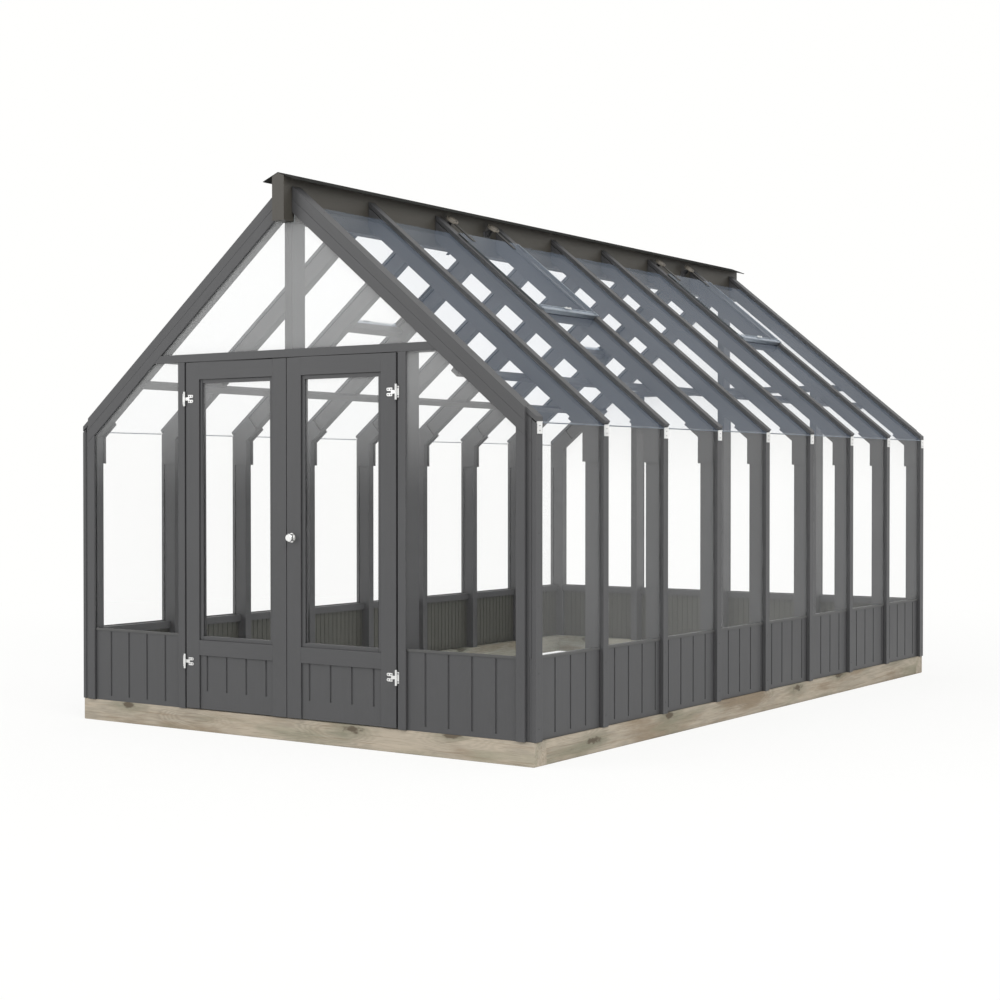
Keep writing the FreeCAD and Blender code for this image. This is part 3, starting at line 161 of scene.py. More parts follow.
class NodeBoard:
    """A node tree being wired up."""

    def __init__(self, tree: NodeTree) -> None:
        """Keep the tree that the nodes go into."""
        self.tree = tree

    def feed(self, socket: Socket, value: Feed) -> None:
        """Link a socket, or set its value.

        Args:
            socket: Socket to feed.
            value: Another socket, a number, or the parts of a vector or colour.
        """
        if isinstance(value, bpy.types.NodeSocket):
            self.tree.links.new(value, socket)
        elif isinstance(value, (int, float)):
            socket.default_value = value
        else:
            wanted = len(socket.default_value)
            socket.default_value = (tuple(value) + (1.0,))[:wanted]

    def add(self, kind: str, inputs: dict[str | int, Feed] | None = None, **settings: object) -> Node:
        """Place a node.

        Args:
            kind: Type of the node.
            inputs: Values or sockets for its inputs, by name or number.
            **settings: Properties of the node.

        Returns:
            The node.
        """
        node = self.tree.nodes.new(kind)
        for key, value in settings.items():
            setattr(node, key, value)
        for key, value in (inputs or {}).items():
            self.feed(node.inputs[key], value)
        return node

    def sum(self, operation: str, *values: Feed, clamp: bool = False) -> Socket:
        """Output of a Math node."""
        inputs = dict(enumerate(values))
        return self.add("ShaderNodeMath", inputs, operation=operation, use_clamp=clamp).outputs[0]

    def plus(self, first: Feed, second: Feed) -> Socket:
        """Sum of two values."""
        return self.sum("ADD", first, second)

    def times(self, first: Feed, second: Feed, clamp: bool = False) -> Socket:
        """Product of two values."""
        return self.sum("MULTIPLY", first, second, clamp=clamp)

    def scaled(self, value: Feed, gain: Feed, offset: Feed) -> Socket:
        """A value times a gain, plus an offset."""
        return self.sum("MULTIPLY_ADD", value, gain, offset)

    def span(self, value: Feed, low: float, high: float, to_low: float = 0.0, to_high: float = 1.0) -> Socket:
        """Smooth step of a value from one range to another."""
        inputs = {"Value": value, "From Min": low, "From Max": high, "To Min": to_low, "To Max": to_high}
        return self.add("ShaderNodeMapRange", inputs, interpolation_type="SMOOTHSTEP").outputs["Result"]

    def blend(self, factor: Feed, first: Feed, second: Feed, way: str = "MIX") -> Socket:
        """Mix of two colours."""
        inputs = {0: factor, 6: first, 7: second}
        return self.add("ShaderNodeMix", inputs, data_type="RGBA", blend_type=way).outputs[2]

    def stain(self, tone: Feed, mask: Feed, share: float, colour: Feed) -> Socket:
        """A tone that takes a share of another colour where a mask says so."""
        return self.blend(self.times(mask, share), tone, colour)

    def split(self, vector: Feed) -> list[Socket]:
        """X, Y and Z of a vector."""
        return list(self.add("ShaderNodeSeparateXYZ", {"Vector": vector}).outputs)

    def axes(self, x: Feed, y: Feed, z: Feed = 0.0) -> Socket:
        """Vector from three values."""
        return self.add("ShaderNodeCombineXYZ", {"X": x, "Y": y, "Z": z}).outputs["Vector"]

    def stretch(self, vector: Feed, scale: Triple) -> Socket:
        """Coordinates scaled along each axis."""
        return self.add("ShaderNodeMapping", {"Vector": vector, "Scale": scale}).outputs["Vector"]

    def noise(self, vector: Feed, scale: Feed, detail: float = 4.0, rough: float = 0.55) -> Socket:
        """Height of a noise texture."""
        inputs = {"Vector": vector, "Scale": scale, "Detail": detail, "Roughness": rough}
        return self.add("ShaderNodeTexNoise", inputs).outputs["Fac"]

    def drawn(self, vector: Feed, scale: Triple, detail: float = 4.0, rough: float = 0.55) -> Socket:
        """Height of a noise texture with its own scale along each axis."""
        return self.noise(self.stretch(vector, scale), 1.0, detail, rough)

    def group(self, tree: NodeTree, **inputs: Feed) -> dict[str, Socket]:
        """Outputs of a node group by name; its inputs are given by their names in small letters."""
        named = {key.replace("_", " ").title(): value for key, value in inputs.items()}
        return dict(self.add("ShaderNodeGroup", named, node_tree=tree).outputs.items())


class Effects:
    """Node groups that several finishes share, each built once."""

    def __init__(self) -> None:
        """Build the groups."""
        self.fibre = self.fibre_axes()
        self.grain = self.timber_grain()
        self.edge = self.rubbed_edge()
        self.marks = self.handling_marks()
        self.crevice = self.crevice_dirt()

    @staticmethod
    def start(
            name: str, values: Iterable[str], outputs: Iterable[str],
            kind: str = VALUE) -> tuple[NodeBoard, dict, dict]:
        """Start a node group that takes a vector and some values.

        Args:
            name: Name of the group.
            values: Names of the values.
            outputs: Names of the outputs.
            kind: Socket type of the outputs.

        Returns:
            The board of the group, and its inputs and outputs by name.
        """
        tree = bpy.data.node_groups.new(name, "ShaderNodeTree")
        tree.interface.new_socket(name="Vector", in_out="INPUT", socket_type=VECTOR)
        for label in values:
            tree.interface.new_socket(name=label, in_out="INPUT", socket_type=VALUE)
        for label in outputs:
            tree.interface.new_socket(name=label, in_out="OUTPUT", socket_type=kind)
        board = NodeBoard(tree)
        given, out = board.add("NodeGroupInput").outputs, board.add("NodeGroupOutput").inputs
        return board, dict(given.items()), dict(out.items())

    def fibre_axes(self) -> NodeTree:
        """Object coordinates turned so that X runs along the fibres, for each way that a timber lies.

        Returns:
            The group, with one output for each Grain.
        """
        board, given, out = self.start("fibre_axes", (), [way.value for way in Grain], VECTOR)
        x, y, z = board.split(given["Vector"])
        sin, cos = math.sin(SIZES.pitch), math.cos(SIZES.pitch)
        reach = board.sum("ABSOLUTE", x)
        along = board.sum("SUBTRACT", board.times(reach, cos), board.times(z, sin))
        above = board.plus(board.times(reach, sin), board.times(z, cos))
        upright, lengthwise, crosswise = board.axes(z, x, y), board.axes(y, x, z), board.axes(x, y, z)
        in_rail = board.sum("COMPARE", reach, SIZES.leaf_rail_centre, SIZES.leaf_rail_half)
        at_gable = board.sum("GREATER_THAN", board.sum("ABSOLUTE", y), SIZES.gable_inside)

        def choose(mask: Socket, off: Socket, on: Socket) -> Socket:
            """One of two vectors, by a mask of 0 or 1."""
            return board.add("ShaderNodeMix", {0: mask, 4: off, 5: on}, data_type="VECTOR").outputs[1]

        turned = {
            Grain.UPRIGHT: upright,
            Grain.LENGTHWISE: lengthwise,
            Grain.CROSSWISE: crosswise,
            Grain.PITCHED: board.axes(along, y, above),
            Grain.LEAF: choose(in_rail, upright, crosswise),
            Grain.ROUND_HOUSE: choose(at_gable, lengthwise, crosswise),
        }
        for way, socket in turned.items():
            board.feed(out[way.value], socket)
        return board.tree

    def timber_grain(self) -> NodeTree:
        """Fibres, growth figure and knots of a sawn softwood, along X.

        Returns:
            The group.
        """
        outputs = ("Streak", "Fibre", "Knot", "Height")
        board, given, out = self.start("timber_grain", ("Knot Spacing",), outputs)
        at = given["Vector"]
        spread = {"Vector": board.stretch(at, (1.5, 6.0, 6.0)), "Scale": given["Knot Spacing"], "Randomness": 0.85}
        near = board.add("ShaderNodeTexVoronoi", spread).outputs["Distance"]
        wobble = board.drawn(at, (3.0, 22.0, 22.0), 3.0)
        knot = board.span(board.plus(near, board.times(wobble, 0.10)), 0.19, 0.11)
        swirl = board.span(near, 0.45, 0.12)
        broad = board.drawn(at, (1.1, 13.0, 13.0), 5.0, 0.6)
        bent = board.plus(board.times(broad, 9.0), board.times(swirl, 6.0))
        rings = board.scaled(board.sum("SINE", board.times(bent, 5.0)), 0.5, 0.5)
        fine = board.drawn(at, (7.0, 330.0, 330.0), 2.0, 0.6)
        streak = board.plus(board.times(rings, 0.22), board.times(broad, 0.78))
        ridges = board.plus(board.times(fine, 0.6), board.times(rings, 0.18))
        height = board.sum("SUBTRACT", ridges, board.times(knot, 0.35))
        for label, socket in zip(outputs, (streak, fine, knot, height)):
            board.feed(out[label], socket)
        return board.tree

    def rubbed_edge(self) -> NodeTree:
        """Mask of worn arrises, broken up by noise.

        Returns:
            The group.
        """
        board, given, out = self.start("rubbed_edge", ("Radius",), ("Edge",))
        eased = board.add("ShaderNodeBevel", {"Radius": given["Radius"]}, samples=3).outputs["Normal"]
        face = board.add("ShaderNodeNewGeometry").outputs["Normal"]
        match = board.add("ShaderNodeVectorMath", {0: eased, 1: face}, operation="DOT_PRODUCT").outputs["Value"]
        turned = board.span(board.sum("SUBTRACT", 1.0, match), 0.02, 0.22)
        broken = board.span(board.noise(given["Vector"], 35.0, 5.0, 0.7), 0.35, 0.65)
        board.feed(out["Edge"], board.times(turned, broken, clamp=True))
        return board.tree

    def handling_marks(self) -> NodeTree:
        """Dull marks and drifts of dust on glass, paint and metal.

        Returns:
            The group.
        """
        board, given, out = self.start("handling_marks", ("Size",), ("Mark", "Speck"))
        broad = board.noise(given["Vector"], given["Size"], 4.0, 0.6)
        board.feed(out["Mark"], board.span(broad, 0.38, 0.68))
        board.feed(out["Speck"], board.noise(given["Vector"], 420.0, 2.0, 0.6))
        return board.tree

    def crevice_dirt(self) -> NodeTree:
        """Painted shade in grooves and in the corners between timbers, from an ambient occlusion mask broken up by
        noise.

        Returns:
            The group.
        """
        board, given, out = self.start("crevice_dirt", ("Reach",), ("Dirt",))
        sky = board.add("ShaderNodeAmbientOcclusion", {"Distance": given["Reach"]}, samples=6, only_local=False)
        ragged = board.scaled(board.noise(given["Vector"], 60.0, 3.0), 0.3, 0.85)
        shut = board.span(sky.outputs["AO"], 0.80, 0.30)
        board.feed(out["Dirt"], board.times(shut, ragged, clamp=True))
        return board.tree


class Surface(NodeBoard):
    """Node tree of a new material, with its Principled shader and its Object coordinates."""

    def __init__(self, name: str) -> None:
        """Start the material.

        Args:
            name: Name of the material.
        """
        self.material = bpy.data.materials.new(name)
        self.material.use_nodes = True
        super().__init__(self.material.node_tree)
        self.shader = self.tree.nodes["Principled BSDF"]
        self.at = self.add("ShaderNodeTexCoord").outputs["Object"]

    def put(self, socket: str, value: Feed) -> None:
        """Feed an input of the shader."""
        self.feed(self.shader.inputs[socket], value)

    def relief(self, height: Socket, strength: float, depth: float) -> None:
        """Give the shader a relief, with its height from 0 to 1 and its depth in metres."""
        inputs = {"Height": height, "Strength": strength, "Distance": depth}
        self.put("Normal", self.add("ShaderNodeBump", inputs).outputs["Normal"])


@dataclass(frozen=True)
class Finish:
    """A finish that becomes one material; each kind wires its own nodes."""

    name: str

    def build(self, effects: Effects) -> Material:
        """Make the material.

        Args:
            effects: Shared node groups.

        Returns:
            The material.
        """
        board = Surface(self.name)
        self.wire(board, effects)
        return board.material

    def wire(self, board: Surface, effects: Effects) -> None:
        """Wire the nodes of the material."""
        raise NotImplementedError


@dataclass(frozen=True)
class PaintedTimber(Finish):
    """Opaque satin paint over sawn softwood: the fibres show as faint relief and tone."""

    colour: Colour
    grain: Grain
    satin: float = 0.46
    # The last two fields set the colour and the strength of the painted shade in crevices.
    shade: Colour = (0.010, 0.010, 0.010)
    dirt: float = 0.7

    def wire(self, board: Surface, effects: Effects) -> None:
        """Wire the paint, its wear and its painted shade in crevices.

        Args:
            board: Board of the material.
            effects: Shared node groups.
        """
        along = board.group(effects.fibre, vector=board.at)[self.grain.value]
        wood = board.group(effects.grain, vector=along, knot_spacing=0.9)
        edge = board.group(effects.edge, vector=board.at, radius=0.004)["Edge"]
        mark = board.group(effects.marks, vector=board.at, size=1.7)["Mark"]
        # Painted shade: an ambient occlusion mask darkens grooves and inner corners.
        dirt = board.group(effects.crevice, vector=board.at, reach=0.006)["Dirt"]
        dark, light, worn = (shaded(self.colour, gain) for gain in (0.93, 1.06, 1.75))
        tone = board.blend(wood["Streak"], dark, light)
        tone = board.stain(tone, mark, 0.10, worn)
        tone = board.stain(tone, wood["Knot"], 0.15, dark)
        tone = board.stain(tone, edge, 0.5, worn)
        # The shade colour is mixed in where that mask says: painted shade.
        board.put("Base Color", board.stain(tone, dirt, self.dirt, self.shade))
        dull = board.scaled(wood["Fibre"], 0.18, self.satin - 0.09)
        board.put("Roughness", board.scaled(mark, 0.08, dull))
        board.put("Specular IOR Level", 0.4)
        board.relief(wood["Height"], 0.2, 0.0007)


@dataclass(frozen=True)
class WeatheredTimber(Finish):
    """Bare pressure-treated softwood, greyed by weather, with knots and saw marks."""

    pale: Colour
    grey: Colour
    brown: Colour
    knot: Colour
    moss: Colour
    grain: Grain
    inner_tint: Colour = (0.86, 0.95, 1.0)
    inner: tuple[float, float] = (1.42, 2.34)

    def wire(self, board: Surface, effects: Effects) -> None:
        """Wire the wood, its stains and its knots.

        Args:
            board: Board of the material.
            effects: Shared node groups.
        """
        along = board.group(effects.fibre, vector=board.at)[self.grain.value]
        wood = board.group(effects.grain, vector=along, knot_spacing=1.0)
        edge = board.group(effects.edge, vector=board.at, radius=0.006)["Edge"]
        stain = board.noise(board.stretch(along, (0.9, 5.0, 5.0)), 1.4, 5.0, 0.62)
        green = board.drawn(along, (1.6, 9.0, 9.0))
        patch = board.drawn(along, (1.3, 3.0, 3.0), 2.0)
        lines = board.drawn(along, (2.2, 90.0, 90.0), 3.0, 0.65)
        eye, halo = self.knots(board, along)
        tone = board.blend(board.span(wood["Streak"], 0.12, 0.88), self.pale, self.grey)
        for mask, share, colour in (
                (board.span(patch, 0.40, 0.62), 0.55, self.pale),
                (board.span(stain, 0.48, 0.68), 0.8, self.brown),
                (board.span(green, 0.52, 0.70), 0.6, self.moss),
                (board.span(lines, 0.45, 0.28), 0.55, self.brown),
                (board.span(wood["Fibre"], 0.42, 0.30), 0.35, self.knot),
                (halo, 0.6, shaded(self.moss, 0.8)),
                (eye, 0.8, self.knot),
                (edge, 0.4, self.pale)):
            tone = board.stain(tone, mask, share, colour)
        # The inner faces of the base are made cooler and slightly darker.
        board.put("Base Color", board.blend(self.inner_mask(board), tone, self.inner_tint, "MULTIPLY"))
        board.put("Roughness", board.scaled(wood["Fibre"], 0.2, 0.72))
        board.put("Specular IOR Level", 0.25)
        board.relief(wood["Height"], 0.7, 0.0022)

    def inner_mask(self, board: Surface) -> Socket:
        """Mask of the inner side of the base, which is given a cooler, slightly darker tone."""
        ways = zip(board.split(board.at), self.inner)
        return board.times(*(board.sum("LESS_THAN", board.sum("ABSOLUTE", way), reach) for way, reach in ways))

    @staticmethod
    def knots(board: Surface, along: Socket) -> tuple[Socket, Socket]:
        """Knots scattered over the upright faces of a timber.

        Args:
            board: Board of the material.
            along: Coordinates with X along the fibres and Z up.

        Returns:
            Mask of the dark eyes and mask of the grey-green wood round them.
        """
        x, _, z = board.split(along)
        flat = board.axes(x, z)
        ragged = board.times(board.drawn(flat, (22.0, 44.0, 1.0), 3.0), 0.24)
        spread = {"Vector": board.stretch(flat, (1.9, 6.4, 1.0)), "Scale": 1.0, "Randomness": 0.9}
        cells = board.add("ShaderNodeTexVoronoi", spread, voronoi_dimensions="2D").outputs
        near = board.plus(cells["Distance"], ragged)
        rare = board.sum("GREATER_THAN", board.split(cells["Color"])[0], 0.45)
        return board.times(board.span(near, 0.25, 0.17), rare), board.times(board.span(near, 0.52, 0.16), rare)


@dataclass(frozen=True)
class PaneGlass(Finish):
    """Thin clear glass with a painted reflection: a faint pale film face on, more at a slant and towards the head,
    and a pale cut edge.
    """

    painted_reflection: Colour
    edge: Colour
    normal: Triple
    face_on_reflection: float
    slant_reflection: float
    head: float = 0.0
    head_from: float = 1.15
    head_to: float = 1.85
    ior: float = 1.45

    def wire(self, board: Surface, effects: Effects) -> None:
        """Wire the painted reflection film of the faces, and the edge.

        Args:
            board: Board of the material.
            effects: Shared node groups.
        """
        mark = board.group(effects.marks, vector=board.at, size=1.3)["Mark"]
        x, y, z = board.split(board.add("ShaderNodeTexCoord").outputs["Normal"])
        flat = board.times(board.sum("ABSOLUTE", z), self.normal[2])
        flat = board.scaled(y, self.normal[1], flat)
        flat = board.scaled(board.sum("ABSOLUTE", x), self.normal[0], flat)
        cut = board.span(board.sum("ABSOLUTE", flat), 0.9, 0.7)
        # Painted reflection: the pale film grows with the Fresnel term at a slant and with height towards the head.
        lean = board.add("ShaderNodeFresnel", {"IOR": self.ior}).outputs["Fac"]
        height = board.split(board.at)[2]
        reflection_by_height = board.span(height, self.head_from, self.head_to, self.face_on_reflection, self.face_on_reflection + self.head)
        outer = board.sum("SUBTRACT", 1.0, board.add("ShaderNodeNewGeometry").outputs["Backfacing"])
        painted_sheen = board.times(board.scaled(lean, self.slant_reflection, reflection_by_height), outer)
        painted_reflection = board.times(painted_sheen, board.scaled(mark, 0.14, 0.93), clamp=True)
        board.put("Base Color", board.blend(cut, self.painted_reflection, self.edge))
        board.put("Alpha", board.sum("MAXIMUM", painted_reflection, board.times(cut, 0.75), clamp=True))
        board.put("Roughness", board.scaled(mark, 0.06, 0.03))
        board.put("IOR", self.ior)


@dataclass(frozen=True)
class Metalwork(Finish):
    """Bare or coated metal with rolling lines, dull marks, rubbed edges and bands of tone and painted highlight by
    height.
    """

    colour: Colour
    rough: float
    metal: float = 1.0
    lines: Triple = (30.0, 30.0, 900.0)
    tone_and_highlight_bands: tuple[tuple[float, Colour], ...] = ()
    gloss: float = 0.5

    def wire(self, board: Surface, effects: Effects) -> None:
        """Wire the metal, its bands of tone and painted highlight, and its wear.

        Args:
            board: Board of the material.
            effects: Shared node groups.
        """
        mark = board.group(effects.marks, vector=board.at, size=9.0)["Mark"]
        edge = board.group(effects.edge, vector=board.at, radius=0.0015)["Edge"]
        rolled = board.drawn(board.at, self.lines, 2.0)
        tone: Feed = self.colour
        height = board.split(board.at)[2]
        # Bands by height: partly other tones of the metal, partly painted highlight.
        for top, colour in self.tone_and_highlight_bands:
            tone = board.blend(board.sum("LESS_THAN", height, top), tone, colour)
        tone = board.blend(mark, tone, (0.84, 0.84, 0.84), "MULTIPLY")
        board.put("Base Color", board.blend(board.times(edge, 0.6), tone, (1.1, 1.1, 1.1), "MULTIPLY"))
        board.put("Roughness", board.scaled(rolled, 0.16, board.scaled(mark, 0.10, self.rough - 0.08)))
        board.put("Metallic", self.metal)
        board.put("Specular IOR Level", self.gloss)
        board.relief(rolled, 0.25, 0.0002)


@dataclass(frozen=True)
class SoftSeal(Finish):
    """Matt grey glazing seal."""

    colour: Colour

    def wire(self, board: Surface, effects: Effects) -> None:
        """Wire the seal and its dust.

        Args:
            board: Board of the material.
            effects: Shared node groups.
        """
        marks = board.group(effects.marks, vector=board.at, size=6.0)
        board.put("Base Color", board.blend(marks["Mark"], self.colour, shaded(self.colour, 2.2)))
        board.put("Roughness", board.scaled(marks["Speck"], 0.2, 0.6))
        board.relief(marks["Speck"], 0.3, 0.0004)


class Palette:
    """All finishes by name, with the materials built from them."""

    def __init__(self) -> None:
        """Build the shared effects and list the finishes."""
        self.effects = Effects()
        self.finishes = {finish.name: finish for finish in self.timber() + self.glass() + self.metal()}
        self.materials: dict[str, Material] = {}

    def __getitem__(self, name: str) -> Material:
        """Material of a finish, built on first use.

        Args:
            name: Name of the finish.

        Returns:
            The material.
        """
        if name not in self.materials:
            self.materials[name] = self.finishes[name].build(self.effects)
        return self.materials[name]

    @staticmethod
    def paint(grain: Grain) -> str:
        """Name of the dark grey paint with its fibres running one way."""
        return "grey_paint_" + grain.name.lower()

    def timber(self) -> list[Finish]:
        """Paints of the house, and the treated timber of its base.

        Returns:
            The finishes.
        """
        # The roof timbers take less painted shade in their crevices than the rest.
        greys = [
            PaintedTimber(self.paint(way), painted(74, 74, 75), way, dirt=0.15 if way is Grain.PITCHED else 0.7)
            for way in Grain]
        return greys + [
            PaintedTimber("beam_paint", painted(67, 64, 58), Grain.LENGTHWISE),
            # The sill beads take the grey paint a little lighter: a painted highlight along their tops.
            PaintedTimber("sill_paint", painted(79, 79, 78), Grain.ROUND_HOUSE),
            # The linings take the grey paint tinted warm olive: a painted reflection of the landscape in the glass
            # before them.
            PaintedTimber("lining_paint", painted(73, 73, 66), Grain.UPRIGHT),
            WeatheredTimber(
                "treated_timber", painted(190, 178, 160), painted(150, 143, 130), painted(138, 122, 101),
                painted(84, 72, 60), painted(138, 138, 118), Grain.ROUND_HOUSE),
        ]

    @staticmethod
    def glass() -> list[Finish]:
        """Glass of the walls, gables, roof slopes and vents.

        Returns:
            The finishes.
        """
        slope = tuple(SIZES.slope_normal(1))
        # The film colours are painted reflections of the sky: near white on the walls and gables, pale blue on the
        # roof and vents.
        sky_blue_reflection, edge, dim = painted(176, 196, 222), painted(196, 208, 212), painted(112, 117, 119)
        return [
            PaneGlass("wall_glass", painted(238, 239, 238), edge, (1.0, 0.0, 0.0), 0.066, 0.36),
            PaneGlass("gable_glass", painted(246, 247, 246), edge, (0.0, 1.0, 0.0), 0.012, 0.10, 0.21),
            PaneGlass("roof_glass", sky_blue_reflection, dim, slope, 0.036, 0.44),
            PaneGlass("vent_glass", sky_blue_reflection, dim, slope, 0.040, 0.48),
        ]

    @staticmethod
    def metal() -> list[Finish]:
        """Metals of the fittings, and the glazing seal.

        Returns:
            The finishes.
        """
        drawn = (40.0, 40.0, 700.0)
        # The vent fittings are lighter low down: partly the alloy's tone, partly a painted highlight from the sky.
        vent_tone_and_highlight_bands = ((2.57, (0.17, 0.185, 0.205)), (2.212, (0.41, 0.45, 0.50)))
        return [
            Metalwork("bright_steel", (0.88, 0.88, 0.87), 0.34),
            Metalwork("polished_steel", (0.90, 0.90, 0.89), 0.24, lines=(60.0, 300.0, 60.0)),
            Metalwork("zinc_steel", (0.52, 0.53, 0.54), 0.40),
            Metalwork("vent_alloy", (0.075, 0.072, 0.066), 0.42, lines=drawn, tone_and_highlight_bands=vent_tone_and_highlight_bands),
            Metalwork("eave_alloy", (0.24, 0.27, 0.31), 0.42, lines=drawn),
            Metalwork("screw_steel", (0.30, 0.30, 0.31), 0.45),
            Metalwork("trim_alloy", (0.50, 0.54, 0.58), 0.36, lines=drawn),
            Metalwork("cover_sheet", painted(126, 120, 110), 0.48, 0.1, (60.0, 60.0, 60.0)),
            Metalwork("stay_steel", painted(78, 78, 79), 0.5, 0.0),
            Metalwork("dark_sheet", painted(58, 58, 56), 0.6, 0.0, (120.0, 4.0, 120.0), gloss=0.0),
            SoftSeal("glazing_seal", (0.066, 0.067, 0.068)),
        ]


def deselect() -> None:
    """Deselect everything."""
    bpy.ops.object.select_all(action="DESELECT")


def pick(*pieces: Piece) -> None:
    """Select these pieces alone.

    Args:
        *pieces: The pieces; the first becomes active.
    """
    deselect()
    for each in pieces:
        each.select_set(True)
    bpy.context.view_layer.objects.active = pieces[0]


def pick_top(piece: Piece, least: float = 0.9, level: float = 1e-6) -> None:
    """Select the topmost faces that look up, and go into edit mode.

    Args:
        piece: Piece to work on.
        least: Least cosine between a face's normal and the upright.
        level: How far apart in height the faces may lie.
    """
    if piece.mode == "EDIT":
        bpy.ops.object.mode_set(mode="OBJECT")
    mesh = piece.data
    upward = [f for f in mesh.polygons if f.normal.z > least]
    top = max(f.center.z for f in upward)
    for group in (mesh.vertices, mesh.edges, mesh.polygons):
        for element in group:
            element.select = False
    for f in upward:
        f.select = f.center.z > top - level
    bpy.ops.object.mode_set(mode="EDIT")
    bpy.ops.mesh.select_mode(type="FACE")


def inset(thickness: float, rise: float, extrude: bool = False) -> None:
    """Inset the selected faces, and move or extrude them.

    Args:
        thickness: Width of the inset.
        rise: Way up, or down where it is negative.
        extrude: Whether the faces are extruded.
    """
    bpy.ops.mesh.inset(thickness=thickness)
    if extrude:
        bpy.ops.mesh.extrude_region_move(TRANSFORM_OT_translate={"value": (0.0, 0.0, rise)})
    else:
        bpy.ops.transform.translate(value=(0.0, 0.0, rise))


def shade_smooth(piece: Piece, degrees: float = 35.0) -> None:
    """Shade a piece smooth, except over sharp edges."""
    pick(piece)
    bpy.ops.object.shade_smooth_by_angle(angle=math.radians(degrees))


def disc(radius: float, height: float, sides: int) -> Piece:
    """Round disc that stands on the origin along Z.

    Args:
        radius: Radius of the disc.
        height: Height of the disc.
        sides: Number of its sides.

    Returns:
        The disc.
    """
    deselect()
    middle = (0.0, 0.0, height / 2.0)
    bpy.ops.mesh.primitive_cylinder_add(vertices=sides, radius=radius, depth=height, location=middle)
    bpy.ops.object.transform_apply(location=True, rotation=True, scale=True)
    return bpy.context.object


def button(radius: float, height: float, sides: int) -> Piece:
    """Round screw head with a domed rim and a sunk socket, standing on the origin along Z.

    Args:
        radius: Radius of the head.
        height: Height of the head.
        sides: Number of its sides.

    Returns:
        The head.
    """
    rim, dome, socket, sink = radius * 0.22, height * 0.25, radius * 0.34, height * 0.6
    head = disc(radius, height, sides)
    pick_top(head)
    inset(rim, dome)
    inset(socket, -sink, extrude=True)
    bpy.ops.object.mode_set(mode="OBJECT")
    return head


def bar(length: float, width: float, height: float, ease: float) -> Piece:
    """Bar along X with eased edges, centred on the origin.

    Args:
        length: Length along X.
        width: Width along Y.
        height: Height along Z.
        ease: Width of the eased edge.

    Returns:
        The bar.
    """
    deselect()
    bpy.ops.mesh.primitive_cube_add(size=1.0)
    piece = bpy.context.object
    bpy.ops.object.mode_set(mode="EDIT")
    bpy.ops.mesh.select_all(action="SELECT")
    bpy.ops.transform.resize(value=(length, width, height))
    bpy.ops.mesh.bevel(offset=ease, segments=2, affect="EDGES")
    bpy.ops.object.mode_set(mode="OBJECT")
    return piece


def facing(at: Vector, outward: Vector) -> Matrix:
    """Place of a piece that stands on a surface, with its Z outward."""
    return Matrix.Translation(at) @ outward.to_track_quat("Z", "Y").to_matrix().to_4x4()


def repeat(master: Piece, places: Sequence[Matrix], name: str) -> Piece:
    """Copies of a piece at each place, each with its own mesh, joined into one piece.

    Args:
        master: Piece to copy; it is used up.
        places: Places of the copies.
        name: Name of the result.

    Returns:
        The joined copies.
    """
    copies = []
    for place in places:
        copy = bpy.data.objects.new(name, master.data.copy())
        copy.data.transform(place)
        bpy.context.scene.collection.objects.link(copy)
        copies.append(copy)
    bpy.data.objects.remove(master)
    pick(*copies)
    if len(copies) > 1:
        bpy.ops.object.join()
    joined = bpy.context.view_layer.objects.active
    joined.name = name
    return joined


@dataclass(frozen=True)
class Fitting:
    """Name of a piece, the body that it rides on, its slot of the record and its finish."""

    name: str
    body: str
    slot: str
    finish: str


@dataclass
class Assembly:
    """Pieces of the house that are made and dressed together."""

    frame: dict
    palette: Palette

    def coat(self, piece: Piece, finish: str) -> None:
        """Give a piece one finish."""
        piece.data.materials.clear()
        piece.data.materials.append(self.palette[finish])

    def dress(self, node: str, finish: str) -> None:
        """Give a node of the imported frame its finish."""
        self.coat(self.frame["nodes"][node], finish)
        LOG.info("%s gets %s", node, finish)

    def fit(self, piece: Piece, to: Fitting) -> None:
        """Name and finish a piece, and set it on its body.

        Args:
            piece: The finished piece.
            to: Its fitting.
        """
        piece.name = to.name
        piece.data.name = to.name
        self.coat(piece, to.finish)
        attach(piece, to.body)
        LOG.info("%s rides on %s, %d faces", to.name, to.body, len(piece.data.polygons))

    def set_out(self, master: Piece, places: Sequence[Matrix], to: Fitting, smooth: bool = True) -> None:
        """Repeat a piece at its places, and fit the result.

        Args:
            master: Piece to copy; it is used up.
            places: Places of the copies.
            to: Fitting of the result.
            smooth: Whether it is shaded smooth.
        """
        piece = repeat(master, places, to.name)
        if smooth:
            shade_smooth(piece)
        self.fit(piece, to)


